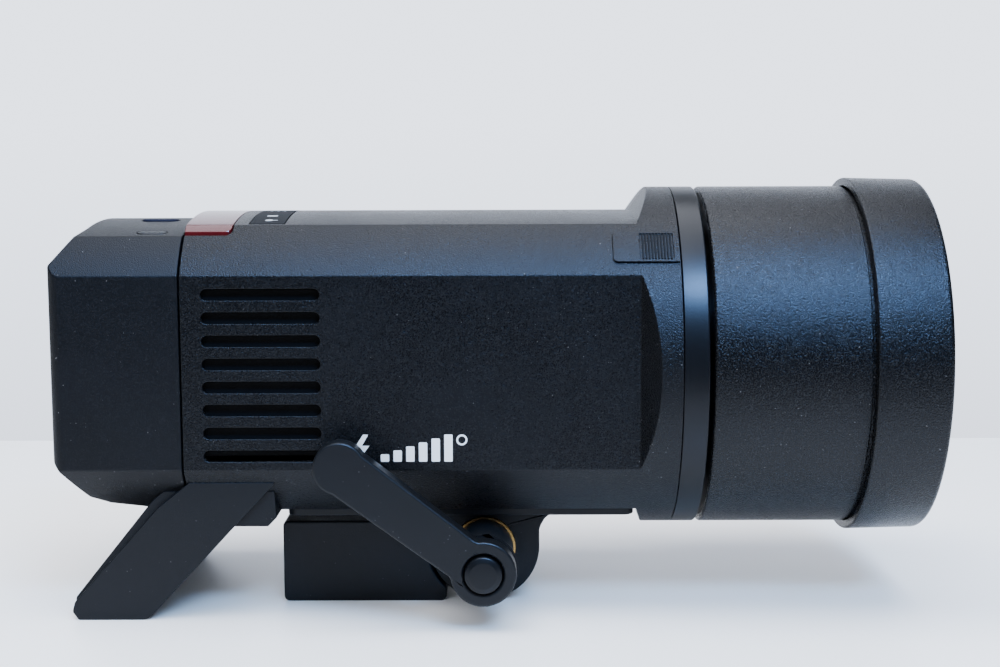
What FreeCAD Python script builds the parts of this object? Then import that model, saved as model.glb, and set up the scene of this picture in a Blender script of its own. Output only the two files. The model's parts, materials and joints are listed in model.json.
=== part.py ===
import FreeCAD, Part
import math
import os

# Battery monolight strobe with its front protective cap fitted.
# Millimetres. +X points the way the lamp fires, +Z up, -Y is the side with the tilt lever.
# The origin is on the surface that the strobe stands on, under the middle of its length.

# ---- Driving dimensions -------------------------------------------------------------
BODY_D = 125.0            # outside diameter of the accessory ring and of the body's round corners
AXIS_Z = 88.0             # lamp axis above the standing surface
REAR_X = -154.3           # back face of the battery and control block
SEAM_X = -109.3           # joint between that block and the main housing
FLAT_END_X = 49.4         # front end of the body's side flats
RING_X = 63.2             # back of the accessory ring
RING_FRONT_X = 72.1
SLEEVE_X = 73.9           # back edge of the cap's sleeve
RIM_X = 128.3             # back edge of the cap's rim
FRONT_X = 154.3

BODY_R = BODY_D / 2
SIDE_Y = 52.6             # side flats, either side of the axis
TOP_EDGE_Z = 50.5         # where the crowned top meets the round corner, above the axis
CROWN_RISE = 3.4          # rise of the top surface at its middle
BOTTOM_FLAT = 51.5        # bottom flat, below the axis
WALL = 2.5
GAP = 0.3                 # parting gap between neighbouring covers
RUN = 0.05                # radial running clearance of a shaft in its hole

CROWN_HALF = math.sqrt(BODY_R ** 2 - TOP_EDGE_Z ** 2)
CROWN_R = (CROWN_HALF ** 2 + CROWN_RISE ** 2) / (2 * CROWN_RISE)
CROWN_TOP = TOP_EDGE_Z + CROWN_RISE

# Rear block: the same section, a little smaller at top and bottom, bevelled at the back.
REAR_TOP_DROP = 2.7
REAR_BOTTOM_LIFT = 1.7
REAR_CORNER = 4.0
REAR_BEVEL_X = 9.0
REAR_BEVEL_Z = 12.0
SPLIT_GAP = 0.2

# Vent slots in both side flats
SLOT_COUNT = 8
SLOT_PITCH = 8.03
SLOT_H = 4.0
SLOT_X0 = -101.8
SLOT_X1 = -61.0
SLOT_TOP_Z = 27.4         # centre of the highest slot above the axis

# Tilt joint and stand bracket
TILT_X = -5.0
TILT_Z = 20.5
EAR_R = 20.0
EAR_IN_Y = 16.0
EAR_OUT_Y = 26.0
BOLT_R = 5.0
BLOCK_X0 = -78.0
BLOCK_X1 = -19.0
BLOCK_TOP_Z = 30.0
TONGUE_R = 11.0
TONGUE_HALF = 15.5
SOCKET_R = 8.0
SOCKET_DEPTH = 38.0
UMBRELLA_R = 4.25
UMBRELLA_X = -34.5

# Tilt lever
LEVER_LEN = 61.0
LEVER_ANGLE = 36.9        # of the lever above the horizontal, pointing back
LEVER_HUB_R = 11.4
LEVER_TIP_R = 9.2
LEVER_Y0 = -66.0
LEVER_Y1 = -55.5
COLLAR_R = 10.5

# Carrying handle
HANDLE_Y = 49.2           # outer face of each arm's side plate
HANDLE_CORE_Y = 46.0      # half width of the core between the side plates
HANDLE_ARM = 12.0

# Lamp parts
SPIGOT_R = 46.6
LUG_R = 50.2              # of the cap's locking lugs
BAYONET_COUNT = 3
BAYONET_TURN = 45.0       # twist from locked to free

PARTS = "parts"


# ---- Helpers ------------------------------------------------------------------------
def vec(x, y, z):
    return FreeCAD.Vector(x, y, z)


X_DIR = vec(1, 0, 0)
Y_DIR = vec(0, 1, 0)
Z_DIR = vec(0, 0, 1)


def box(x0, x1, y0, y1, z0, z1):
    return Part.makeBox(x1 - x0, y1 - y0, z1 - z0, vec(x0, y0, z0))


def rod_x(x0, x1, y, z, r):
    return Part.makeCylinder(r, x1 - x0, vec(x0, y, z), X_DIR)


def rod_y(y0, y1, x, z, r):
    return Part.makeCylinder(r, y1 - y0, vec(x, y0, z), Y_DIR)


def rod_z(z0, z1, x, y, r):
    return Part.makeCylinder(r, z1 - z0, vec(x, y, z0), Z_DIR)


def tube_x(x0, x1, y, z, r_out, r_in):
    return rod_x(x0, x1, y, z, r_out).cut(rod_x(x0 - 1, x1 + 1, y, z, r_in))


def prism(points, direction):
    wire = Part.makePolygon(points + [points[0]])
    return Part.Face(wire).extrude(direction)


def plate_y(points_xz, y0, y1):
    """A flat plate with an outline in XZ, from y0 to y1."""
    return prism([vec(x, y0, z) for x, z in points_xz], vec(0, y1 - y0, 0))


def plate_z(points_xy, z0, z1):
    return prism([vec(x, y, z0) for x, y in points_xy], vec(0, 0, z1 - z0))


def fuse(shapes):
    whole = shapes[0]
    for shape in shapes[1:]:
        whole = whole.fuse(shape)
    return whole.removeSplitter()


def cut(shape, tools):
    for tool in tools:
        shape = shape.cut(tool)
    return shape


def around(shape, count, start=0.0):
    """Copies of a shape, evenly spaced about the lamp axis."""
    copies = []
    for index in range(count):
        copy = shape.copy()
        copy.rotate(vec(0, 0, AXIS_Z), X_DIR, start + 360.0 * index / count)
        copies.append(copy)
    return copies


def edges_along(shape, direction, keep=None):
    """Straight edges parallel to a direction, optionally only those that keep() accepts."""
    found = []
    for edge in shape.Edges:
        if not isinstance(edge.Curve, Part.Line):
            continue
        tangent = edge.tangentAt(edge.FirstParameter)
        if abs(abs(tangent.dot(direction)) - 1) > 1e-6:
            continue
        if keep is None or keep(edge.CenterOfMass):
            found.append(edge)
    return found


def rounded(shape, direction, radius, keep=None):
    return shape.makeFillet(radius, edges_along(shape, direction, keep))


def group(shapes):
    return Part.makeCompound(shapes)


def write(name, shape):
    if not shape.isValid():
        print("not valid:", name)
    shape.exportStep(PARTS + "/" + name + ".step")


# ---- Body sections ------------------------------------------------------------------
def body_bar(x0, x1, inset=0.0, drop=0.0, lift=0.0):
    """Round bar with flat sides, a crowned top lowered by drop and a flat bottom raised by lift."""
    bar = rod_x(x0, x1, 0, AXIS_Z, BODY_R - inset)
    half = SIDE_Y - inset
    low = AXIS_Z - BOTTOM_FLAT + inset + lift
    slab = box(x0, x1, -half, half, low, AXIS_Z + BODY_R)
    crown = rod_x(x0, x1, 0, AXIS_Z + CROWN_TOP - drop - CROWN_R, CROWN_R - inset)
    return bar.common(slab).common(crown)


def nose(inset=0.0):
    """Front end of the housing: the round bar, with planes that slope out from the flats."""
    r = BODY_R - inset
    y = SIDE_Y - inset
    x_side = FLAT_END_X + 6.4
    x_top = FLAT_END_X + 5.6
    half = [(FLAT_END_X, y), (x_side, BODY_R), (x_side, BODY_R + 5), (RING_X, BODY_R + 5)]
    outline = half + [(x, -side) for x, side in reversed(half)]
    sides = plate_z(outline, 0, AXIS_Z + 80)
    top_z = AXIS_Z + TOP_EDGE_Z + 1.3 - inset
    low_z = AXIS_Z - BOTTOM_FLAT - 1.0 + inset
    profile = [
        (FLAT_END_X, top_z),
        (x_top, AXIS_Z + BODY_R),
        (x_top, AXIS_Z + 80),
        (RING_X, AXIS_Z + 80),
        (RING_X, 0),
        (FLAT_END_X + 3.6, 0),
        (FLAT_END_X + 3.6, AXIS_Z - BODY_R),
        (FLAT_END_X, low_z),
    ]
    return rod_x(FLAT_END_X, RING_X, 0, AXIS_Z, r).common(sides).common(plate_y(profile, -80, 80))


def slots(side):
    """Vent slots with round ends, through the wall on one side."""
    y0, y1 = sorted((side * (SIDE_Y - WALL - 3), side * (SIDE_Y + 3)))
    half = SLOT_H / 2
    cutters = []
    for index in range(SLOT_COUNT):
        z = AXIS_Z + SLOT_TOP_Z - index * SLOT_PITCH
        middle = box(SLOT_X0 + half, SLOT_X1 - half, y0, y1, z - half, z + half)
        ends = [rod_y(y0, y1, x, z, half) for x in (SLOT_X0 + half, SLOT_X1 - half)]
        cutters.append(fuse([middle] + ends))
    return cutters


# Openings that parts in the housing need
WINDOW_X0 = SEAM_X
WINDOW_X1 = -92.6
WINDOW_Y0 = -40.5
WINDOW_Y1 = 22.0
COVER_X0 = -87.0
COVER_X1 = -74.8
COVER_Y0 = -35.0
COVER_Y1 = 10.0
COVER_T = 1.6
HINGE_Y = COVER_Y1 + 1.2
HINGE_Z = AXIS_Z + CROWN_TOP - 1.4
SLIDER_X0 = 39.9
SLIDER_X1 = 62.9
SLIDER_TRAVEL = 4.0
SLIDER_DEG = 46.8         # where the release slider sits, from the top towards -Y
SLIDER_W = 13.2
STEM_W = 5.0
FLANGE_T = 1.8
RING_SCREW_R = 55.0


def top_skin(x0, x1, y0, y1, depth, low=0.0):
    """A piece of the body's outer skin on top, depth thick."""
    outer = body_bar(x0, x1, low)
    inner = body_bar(x0 - 1, x1 + 1, low + depth)
    return outer.cut(inner).common(box(x0, x1, y0, y1, AXIS_Z + 30, AXIS_Z + 80))


def port_pocket():
    pocket = top_skin(COVER_X0 - GAP, COVER_X1 + GAP, COVER_Y0 - 0.5, COVER_Y1 + 2.6, COVER_T + GAP)
    groove = rod_x(COVER_X0 - GAP, COVER_X1 + GAP, HINGE_Y, HINGE_Z, 1.4)
    slot = box(COVER_X0 - GAP, COVER_X1 + GAP, COVER_Y1 - 0.4, COVER_Y1 + 2.6, HINGE_Z, HINGE_Z + 4)
    return fuse([pocket, groove, slot])


def on_slider(shape):
    """Turns a shape built on top of the body to the slider's place on the round corner."""
    shape.rotate(vec(0, 0, AXIS_Z), X_DIR, SLIDER_DEG)
    return shape


def slider_slot():
    x0 = SLIDER_X0 + 2.0
    low = AXIS_Z + BODY_R - WALL - 8
    return on_slider(box(x0, x0 + 14, -STEM_W / 2 - GAP, STEM_W / 2 + GAP, low, AXIS_Z + 80))


def housing_shell():
    outer = fuse([body_bar(SEAM_X + GAP, FLAT_END_X + 6.0), nose()])
    hollow = fuse([
        body_bar(SEAM_X + GAP + WALL, FLAT_END_X + 4.0, WALL),
        rod_x(FLAT_END_X + 6.0, RING_X + 1, 0, AXIS_Z, BODY_R - WALL - 1.5),
        body_bar(FLAT_END_X - 2, RING_X, WALL + 1.5),
    ])
    shell = outer.cut(hollow)
    window = top_skin(WINDOW_X0 - 1, WINDOW_X1 + GAP, WINDOW_Y0 - GAP, WINDOW_Y1 + GAP, 3 * WALL)
    socket = box(SEAM_X - 1, SEAM_X + 6, -42, -12, AXIS_Z - 16, AXIS_Z + 16)
    loom = box(SEAM_X - 1, SEAM_X + 6, 12, 42, AXIS_Z - 12, AXIS_Z + 12)
    ports = [
        box(COVER_X0 + 2, COVER_X1 - 2, -24, -14, AXIS_Z + 40, AXIS_Z + 60),
        rod_z(AXIS_Z + 40, AXIS_Z + 60, (COVER_X0 + COVER_X1) / 2, -3, 3.4),
    ]
    tools = slots(-1) + slots(1) + [window, port_pocket(), slider_slot(), socket, loom] + ports
    for x, y in base_screw_places():
        tools.append(rod_z(AXIS_Z - BODY_R, AXIS_Z - 40, x, y, 2.2))
    for x, y in handle_bolt_places():
        tools.append(rod_z(AXIS_Z - BODY_R, AXIS_Z - 40, x, y, 2.6))
    flange = tube_x(RING_X - FLANGE_T, RING_X, 0, AXIS_Z, BODY_R - WALL, 47.6)
    return cut(fuse([shell, flange]), tools + ring_screw_holes(RING_X - 3) + [pin_way()])


def ring_screw_holes(x0):
    return around(rod_x(x0, x0 + 11, 0, AXIS_Z + RING_SCREW_R, 1.7), 6, 15)


def pin_way():
    """Channel for the lock pin through the flange and the accessory ring."""
    return on_slider(box(RING_X - 4, RING_FRONT_X + 1, -2.1, 2.1, AXIS_Z + 50.5, AXIS_Z + 54.7))


def base_screw_places():
    return [(x, y) for x in (-66.0, -40.0, 24.0, 40.0) for y in (-24.0, 24.0)]


def half_of(shape, side):
    y0, y1 = sorted((side * 0.05, side * 90))
    return shape.common(box(-200, 200, y0, y1, -5, 200))


# ---- Rear block: battery on the -Y side, controls on the +Y side -----------------------
def rear_bar(inset=0.0):
    bar = body_bar(REAR_X + inset, SEAM_X, inset, REAR_TOP_DROP, REAR_BOTTOM_LIFT)
    top = AXIS_Z + CROWN_TOP - REAR_TOP_DROP
    low = AXIS_Z - BOTTOM_FLAT + REAR_BOTTOM_LIFT
    back = REAR_X + inset
    keep = [
        (back, low + REAR_BEVEL_Z + inset / 2),
        (back + REAR_BEVEL_X * 1.35, low - 1),
        (SEAM_X + 1, low - 1),
        (SEAM_X + 1, top + 1),
        (back + REAR_BEVEL_X, top + 1),
        (back, top - REAR_BEVEL_Z - inset / 2),
    ]
    y = SIDE_Y - inset
    arc = REAR_CORNER * 0.3
    plan = [(back + REAR_CORNER, -y), (SEAM_X + 1, -y), (SEAM_X + 1, y), (back + REAR_CORNER, y),
            (back + arc, y - arc), (back, y - REAR_CORNER),
            (back, -y + REAR_CORNER), (back + arc, -y + arc)]
    return bar.common(plate_y(keep, -80, 80)).common(plate_z(plan, 0, 200))


RAIL_X0 = -143.0
RAIL_X1 = -113.0
RAIL_WEB = 4.0
RAIL_HEAD = 8.0
REAR_TOP = AXIS_Z + CROWN_TOP - REAR_TOP_DROP
RELEASE_X = -123.4
RELEASE_Y = -10.0
RELEASE_LEN = 13.5
RELEASE_W = 7.0
RELEASE_TRAVEL = 1.5
LEVEL_X = -121.2
LEVEL_Y = -36.0
BATTERY_IN_Y = -9.0


def rail(grow=0.0, x0=RAIL_X0, x1=RAIL_X1):
    web = box(x0, x1, -5.0 - grow, 0, AXIS_Z - RAIL_WEB - grow, AXIS_Z + RAIL_WEB + grow)
    head = box(x0, x1, -5.0 - grow, -2.5 + grow, AXIS_Z - RAIL_HEAD - grow, AXIS_Z + RAIL_HEAD + grow)
    return fuse([web, head])


def oval_z(x, y, z0, z1, length, width):
    r = width / 2
    half = (length - width) / 2
    middle = box(x - half, x + half, y - r, y + r, z0, z1)
    return fuse([middle, rod_z(z0, z1, x - half, y, r), rod_z(z0, z1, x + half, y, r)])


def release_button():
    return oval_z(RELEASE_X, RELEASE_Y, REAR_TOP - 6.0, REAR_TOP + 0.2, RELEASE_LEN, RELEASE_W)


def release_pocket():
    floor = REAR_TOP - 6.0 - RELEASE_TRAVEL - 0.7
    return oval_z(RELEASE_X, RELEASE_Y, floor, REAR_TOP + 1.0, RELEASE_LEN + 2 * GAP, RELEASE_W + 2 * GAP)


def level_window(grow=0.0):
    skin = rear_skin(1.2 + grow)
    return skin.common(oval_z(LEVEL_X, LEVEL_Y, AXIS_Z + 30, AXIS_Z + 70, 10.4 + 2 * grow, 4.4 + 2 * grow))


def rear_skin(depth):
    return rear_bar().cut(body_bar(REAR_X - 5, SEAM_X + 5, depth, REAR_TOP_DROP, REAR_BOTTOM_LIFT))


def battery_half():
    return half_of(rear_bar(), -1).common(box(-200, SEAM_X - GAP, -90, -SPLIT_GAP, -5, 200))


def battery_case():
    cavity = rear_bar(WALL).common(box(-200, SEAM_X - 4, -90, BATTERY_IN_Y, -5, 200))
    lid_seat = rear_bar(1.4).common(box(SEAM_X - 4, SEAM_X + 1, -90, BATTERY_IN_Y + 1.5, -5, 200))
    slot = rail(GAP, RAIL_X0 - 1, SEAM_X + 1)
    return cut(battery_half(), [cavity, lid_seat, slot, release_pocket(), level_window(0.02)])


def battery_lid():
    seat = rear_bar(1.6).common(box(SEAM_X - 3.9, SEAM_X - GAP, -90, BATTERY_IN_Y + 1.3, -5, 200))
    plug = box(SEAM_X - 5, SEAM_X + 1, -40, -14, AXIS_Z - 14, AXIS_Z + 14)
    return seat.cut(plug)


def battery_contacts():
    body = box(SEAM_X - 5.0, SEAM_X + 5.0, -39.8, -14.2, AXIS_Z - 13.8, AXIS_Z + 13.8)
    grooves = []
    for index in range(4):
        z = AXIS_Z - 10.5 + 7.0 * index
        grooves.append(box(SEAM_X + 1, SEAM_X + 6, -36, -18, z - 1.5, z + 1.5))
    return cut(body, grooves)


CELL_COUNT = 8
CELL_PITCH = 4.7


def battery_cells():
    room = rear_bar(WALL + 1.0).common(box(-200, SEAM_X - 6.5, -90, 0, -5, 200))
    cells = []
    for index in range(CELL_COUNT):
        y = BATTERY_IN_Y - 1.2 - index * CELL_PITCH
        slab = box(REAR_X + 6, SEAM_X - 7, y - CELL_PITCH + 0.3, y, AXIS_Z - 36, AXIS_Z + 35)
        cells.append(slab.common(room))
    return group(cells)


# ---- Controls on the back face ----------------------------------------------------------
PANEL_Y = 24.0            # middle of the control panel
PANEL_DEPTH = 5.0         # the panel is sunk into the back face by this much
PANEL_X = REAR_X + PANEL_DEPTH
PANEL_HALF_Y = 20.0
PANEL_Z0 = AXIS_Z - 35.0
PANEL_Z1 = AXIS_Z + 33.0
SCREEN_HALF_Y = 18.0
SCREEN_Z0 = AXIS_Z + 2.0
SCREEN_Z1 = AXIS_Z + 30.0
KEY_Z = AXIS_Z - 4.5
KEY_COUNT = 4
KEY_PITCH = 9.6
DIAL_Z = AXIS_Z - 21.0
DIAL_R = 9.5
SIDE_KEY_R = 3.2
SIDE_KEY_Y = 14.6


def oval_x(x0, x1, y, z, length, height):
    r = height / 2
    half = (length - height) / 2
    middle = box(x0, x1, y - half, y + half, z - r, z + r)
    return fuse([middle, rod_x(x0, x1, y - half, z, r), rod_x(x0, x1, y + half, z, r)])


def key_ys():
    return [PANEL_Y + KEY_PITCH * (index - (KEY_COUNT - 1) / 2) for index in range(KEY_COUNT)]


def key(y, grow=0.0):
    x0 = PANEL_X - 1.0 if not grow else PANEL_X - 3
    return oval_x(x0, PANEL_X + 4.0 + 4 * grow, y, KEY_Z, 7.0 + 2 * grow, 3.6 + 2 * grow)


def round_key(y, z, r, grow=0.0):
    x0 = PANEL_X - 1.2 if not grow else PANEL_X - 3
    return rod_x(x0, PANEL_X + 4.0 + 4 * grow, y, z, r + grow)


def control_housing():
    block = rear_bar().common(box(-200, SEAM_X, SPLIT_GAP / 2, 90, -5, 200))
    cavity = rear_bar(WALL).common(box(PANEL_X + WALL, SEAM_X + 5, WALL, 90, -5, 200))
    panel = box(REAR_X - 1, PANEL_X, PANEL_Y - PANEL_HALF_Y, PANEL_Y + PANEL_HALF_Y, PANEL_Z0, PANEL_Z1)
    panel = rounded(panel, X_DIR, 3.0)
    lens_y = (PANEL_Y - SCREEN_HALF_Y, PANEL_Y + SCREEN_HALF_Y)
    screen = box(PANEL_X - 1, PANEL_X + 1.2, lens_y[0], lens_y[1], SCREEN_Z0, SCREEN_Z1)
    sight = box(PANEL_X - 1, PANEL_X + 5, PANEL_Y - 15, PANEL_Y + 15, SCREEN_Z0 + 3, SCREEN_Z1 - 3)
    dial_hole = rod_x(PANEL_X - 1, PANEL_X + 6, PANEL_Y, DIAL_Z, 4.0 + RUN)
    dial_seat = rod_x(PANEL_X - 1, PANEL_X + 0.8, PANEL_Y, DIAL_Z, DIAL_R + 0.6)
    keys = [key(y, 0.2) for y in key_ys()]
    rounds = [round_key(PANEL_Y + s * SIDE_KEY_Y, DIAL_Z, SIDE_KEY_R, 0.2) for s in (-1, 1)]
    rail_seat = box(RAIL_X0 - 2, RAIL_X1 + 2, -1, WALL, AXIS_Z - 10, AXIS_Z + 10)
    return cut(block, [cavity, panel, screen, sight, dial_hole, dial_seat, rail_seat] + keys + rounds)


def battery_rail():
    foot = box(RAIL_X0 - 1.9, RAIL_X1 + 1.9, 0, WALL + 1.5, AXIS_Z - 9.9, AXIS_Z + 9.9)
    return fuse([rail(), foot])


def display_lens():
    y = SCREEN_HALF_Y - 0.1
    return box(PANEL_X + 0.1, PANEL_X + 1.1, PANEL_Y - y, PANEL_Y + y, SCREEN_Z0 + 0.1, SCREEN_Z1 - 0.1)


def display_board():
    """The display module on its circuit board."""
    module = box(PANEL_X + 2.8, PANEL_X + 12.0, PANEL_Y - 16, PANEL_Y + 16, SCREEN_Z0 + 2, SCREEN_Z1 - 2)
    board = box(PANEL_X + 12.0, PANEL_X + 13.6, 5, 44, AXIS_Z - 32, AXIS_Z + 32)
    return fuse([module, board])


def select_dial():
    knob = rod_x(PANEL_X - 4.0, PANEL_X + 0.5, PANEL_Y, DIAL_Z, DIAL_R)
    knob = knob.makeChamfer(0.8, [e for e in knob.Edges if abs(e.CenterOfMass.x - PANEL_X + 4.0) < 0.1])
    stem = rod_x(PANEL_X, PANEL_X + 10.5, PANEL_Y, DIAL_Z, 4.0)
    ribs = []
    for index in range(24):
        rib = rod_x(PANEL_X - 3.2, PANEL_X + 0.3, PANEL_Y, DIAL_Z + DIAL_R, 0.45)
        rib.rotate(vec(0, PANEL_Y, DIAL_Z), X_DIR, 15.0 * index)
        ribs.append(rib)
    bore = rod_x(PANEL_X - 6, PANEL_X + 8, PANEL_Y, DIAL_Z, 3.0 + RUN)
    return cut(fuse([knob, stem]), ribs + [bore])


def set_button():
    return rod_x(PANEL_X - 4.6, PANEL_X + 6.0, PANEL_Y, DIAL_Z, 3.0)


# ---- Top: receiver window, port cover, sockets ---------------------------------------------
def receiver_window():
    return top_skin(WINDOW_X0 + GAP, WINDOW_X1, WINDOW_Y0, WINDOW_Y1, WALL - 0.3)


def port_cover():
    leaf = top_skin(COVER_X0, COVER_X1, COVER_Y0, COVER_Y1 + 0.6, COVER_T)
    knuckle = rod_x(COVER_X0, COVER_X1, HINGE_Y, HINGE_Z, 1.0)
    return fuse([leaf, knuckle])


def usb_port():
    x = (COVER_X0 + COVER_X1) / 2
    outer = box(x - 3.9, x + 3.9, -23.8, -14.2, AXIS_Z + 38, AXIS_Z + 49.0)
    return outer.cut(box(x - 2.9, x + 2.9, -22.8, -15.2, AXIS_Z + 40, AXIS_Z + 52))


def sync_jack():
    x = (COVER_X0 + COVER_X1) / 2
    return rod_z(AXIS_Z + 36, AXIS_Z + 50.0, x, -3, 3.2).cut(rod_z(AXIS_Z + 38, AXIS_Z + 52, x, -3, 1.8))


# ---- Accessory ring, release slider and lock pin ---------------------------------------------
RING_IN_R = 52.0


def mount_ring():
    ring = tube_x(RING_X + GAP, RING_FRONT_X, 0, AXIS_Z, BODY_R, RING_IN_R)
    web = tube_x(RING_X + GAP, RING_X + 2.5, 0, AXIS_Z, RING_IN_R + 1, 48.0)
    ring = fuse([ring, web])
    return cut(ring, ring_screw_holes(RING_X - 3) + [pin_way()])


def bayonet_flange():
    plate = tube_x(RING_FRONT_X - 2.3, RING_FRONT_X - 0.3, 0, AXIS_Z, RING_IN_R - 0.1, SPIGOT_R + 0.6)
    notches = []
    for index in range(BAYONET_COUNT):
        notch = box(60, 80, -13, 13, AXIS_Z + 40, AXIS_Z + 60)
        notch = notch.common(rod_x(60, 80, 0, AXIS_Z, LUG_R + 0.5))
        notch.rotate(vec(0, 0, AXIS_Z), X_DIR, BAYONET_TURN + 120 * index)
        notches.append(notch)
    pin = on_slider(rod_x(60, 80, 0, AXIS_Z + 52.6, 2.2))
    return cut(plate, notches + [pin])


def ring_screws():
    screw = fuse([
        rod_x(RING_X - FLANGE_T, RING_X + 7.8, 0, AXIS_Z + RING_SCREW_R, 1.65),
        rod_x(RING_X - 3.6, RING_X - FLANGE_T, 0, AXIS_Z + RING_SCREW_R, 2.9),
    ])
    return group(around(screw, 6, 15))


def release_slider():
    top = AXIS_Z + BODY_R + 0.9
    plate = tube_x(SLIDER_X0, SLIDER_X1, 0, AXIS_Z, BODY_R + 0.9, BODY_R + GAP)
    plate = plate.common(box(SLIDER_X0, SLIDER_X1, -SLIDER_W / 2, SLIDER_W / 2, AXIS_Z, AXIS_Z + 80))
    plate = rounded(plate, Z_DIR, 1.5, lambda c: c.x < SLIDER_X0 + 1)
    grooves = []
    for index in range(10):
        x = SLIDER_X0 + 9.6 + 1.15 * index
        grooves.append(box(x, x + 0.5, -SLIDER_W / 2 + 1, SLIDER_W / 2 - 1, top - 0.5, top + 2))
    x0 = SLIDER_X0 + 2.0 + SLIDER_TRAVEL + 0.4
    stem = box(x0, x0 + 9, -STEM_W / 2, STEM_W / 2, AXIS_Z + 51.0, AXIS_Z + BODY_R + 0.5)
    return on_slider(fuse([cut(plate, grooves), stem]))


def lock_pin():
    pin = rod_x(SLIDER_X0 + 15.5, RING_FRONT_X - 1.5, 0, AXIS_Z + 52.6, 1.9)
    return on_slider(pin)


# ---- Lamp -----------------------------------------------------------------------------------
DOME_R = 38.0
DOME_X = 74.0


def lamp_base():
    disc = rod_x(RING_X - 6, RING_X + GAP, 0, AXIS_Z, 47.0)
    collar = tube_x(RING_X + GAP, RING_X + 5, 0, AXIS_Z, 43.0, 40.5)
    holes = around(rod_x(RING_X - 10, RING_X + 10, 0, AXIS_Z + 22, 3.0), 2, 90)
    return cut(fuse([disc, collar]), holes + [rod_x(RING_X - 10, RING_X + 10, 0, AXIS_Z, 7.0)])


def reflector_plate():
    disc = rod_x(RING_X + 0.5, RING_X + 2.0, 0, AXIS_Z, 40.2)
    holes = around(rod_x(RING_X - 10, RING_X + 10, 0, AXIS_Z + 22, 3.3), 2, 90)
    return cut(disc, holes + [rod_x(RING_X - 10, RING_X + 10, 0, AXIS_Z, 10.0)])


def flash_tube():
    ring = Part.makeTorus(22.0, 3.0, vec(RING_X + 18, 0, AXIS_Z), X_DIR)
    legs = around(rod_x(RING_X - 7, RING_X + 18, 0, AXIS_Z + 22, 2.6), 2, 90)
    return fuse([ring] + legs)


def modelling_led():
    post = rod_x(RING_X - 9, RING_X + 9, 0, AXIS_Z, 6.6)
    head = rod_x(RING_X + 9, RING_X + 12, 0, AXIS_Z, 9.0)
    return fuse([post, head])


def glass_dome():
    outer = Part.makeSphere(DOME_R, vec(DOME_X, 0, AXIS_Z)).common(box(DOME_X, DOME_X + 60, -60, 60, 0, 200))
    inner = Part.makeSphere(DOME_R - 2.0, vec(DOME_X, 0, AXIS_Z))
    skirt = tube_x(RING_X + 5.4, DOME_X, 0, AXIS_Z, DOME_R, DOME_R - 2.0)
    return fuse([outer.cut(inner), skirt])


# ---- Inside the housing -------------------------------------------------------------------------
CAP_R = 16.0
CAP_LEN = 58.0


def capacitor_bank():
    cans = []
    for y in (-17.5, 17.5):
        for z in (-17.5, 17.5):
            cans.append(rod_x(-18.0, -18.0 + CAP_LEN, y, AXIS_Z + z, CAP_R))
    return group(cans)


def power_board():
    return box(-90.0, -26.0, -34, -32.4, AXIS_Z - 30, AXIS_Z + 32)


def main_board():
    return box(-70.0, -26.0, -28, 28, AXIS_Z + 38.0, AXIS_Z + 39.6)


def trigger_transformer():
    core = box(-52.0, -28.0, -26, -2, AXIS_Z - 34, AXIS_Z - 10)
    winding = box(-49.0, -31.0, -29, 1, AXIS_Z - 31, AXIS_Z - 13)
    return fuse([core, winding])


def heat_sink():
    base = box(-88.0, -40.0, 8, 12, AXIS_Z - 24, AXIS_Z + 24)
    fins = []
    for index in range(9):
        z = AXIS_Z - 24 + 5.75 * index
        fins.append(box(-88.0, -40.0, 12, 26, z, z + 2))
    return fuse([base] + fins)


FAN_X = -81.4
FAN_Y0 = 32.0
FAN_HALF = 25.0
FAN_T = 15.0


def fan_frame():
    x0 = FAN_X - FAN_HALF
    frame = box(x0, FAN_X + FAN_HALF, FAN_Y0, FAN_Y0 + FAN_T, AXIS_Z - FAN_HALF, AXIS_Z + FAN_HALF)
    frame = frame.cut(rod_y(FAN_Y0 - 1, FAN_Y0 + FAN_T + 1, FAN_X, AXIS_Z, FAN_HALF - 1.5))
    spokes = []
    for index in range(4):
        spoke = box(FAN_X - 1.2, FAN_X + 1.2, FAN_Y0, FAN_Y0 + 1.5, AXIS_Z, AXIS_Z + FAN_HALF - 1)
        spoke.rotate(vec(FAN_X, 0, AXIS_Z), Y_DIR, 45 + 90 * index)
        spokes.append(spoke)
    hub = rod_y(FAN_Y0, FAN_Y0 + 1.5, FAN_X, AXIS_Z, 9)
    stud = rod_y(FAN_Y0, FAN_Y0 + 10, FAN_X, AXIS_Z, 1.5)
    return fuse([frame, hub, stud] + spokes)


def fan_rotor():
    hub = rod_y(FAN_Y0 + 2.0, FAN_Y0 + FAN_T - 1.0, FAN_X, AXIS_Z, 9)
    blades = []
    for index in range(7):
        blade = box(FAN_X - 0.8, FAN_X + 0.8, FAN_Y0 + 3, FAN_Y0 + FAN_T - 2, AXIS_Z + 7, AXIS_Z + 22.5)
        blade.rotate(vec(FAN_X, FAN_Y0 + FAN_T / 2, AXIS_Z), Z_DIR, 35)
        blade.rotate(vec(FAN_X, 0, AXIS_Z), Y_DIR, 360.0 / 7 * index)
        blades.append(blade)
    return fuse([hub] + blades).cut(rod_y(FAN_Y0 + 1, FAN_Y0 + 10.2, FAN_X, AXIS_Z, 1.5 + RUN))


# ---- Base plate, fork, handle -----------------------------------------------------------------------
BASE_X0 = -76.0
BASE_X1 = 48.9
BASE_HALF = 32.0
BASE_Z0 = AXIS_Z - 54.65
BASE_Z1 = AXIS_Z - BOTTOM_FLAT
BASE_SCREW_SEAT = BASE_Z1 + WALL


def base_plate():
    plate = box(BASE_X0, BASE_X1, -BASE_HALF, BASE_HALF, BASE_Z0, BASE_Z1)
    plate = rounded(plate, Z_DIR, 4)
    holes = [rod_z(BASE_Z0 - 1, BASE_Z1 + 1, x, y, 2.2) for x, y in base_screw_places()]
    return cut(plate, holes)


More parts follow.
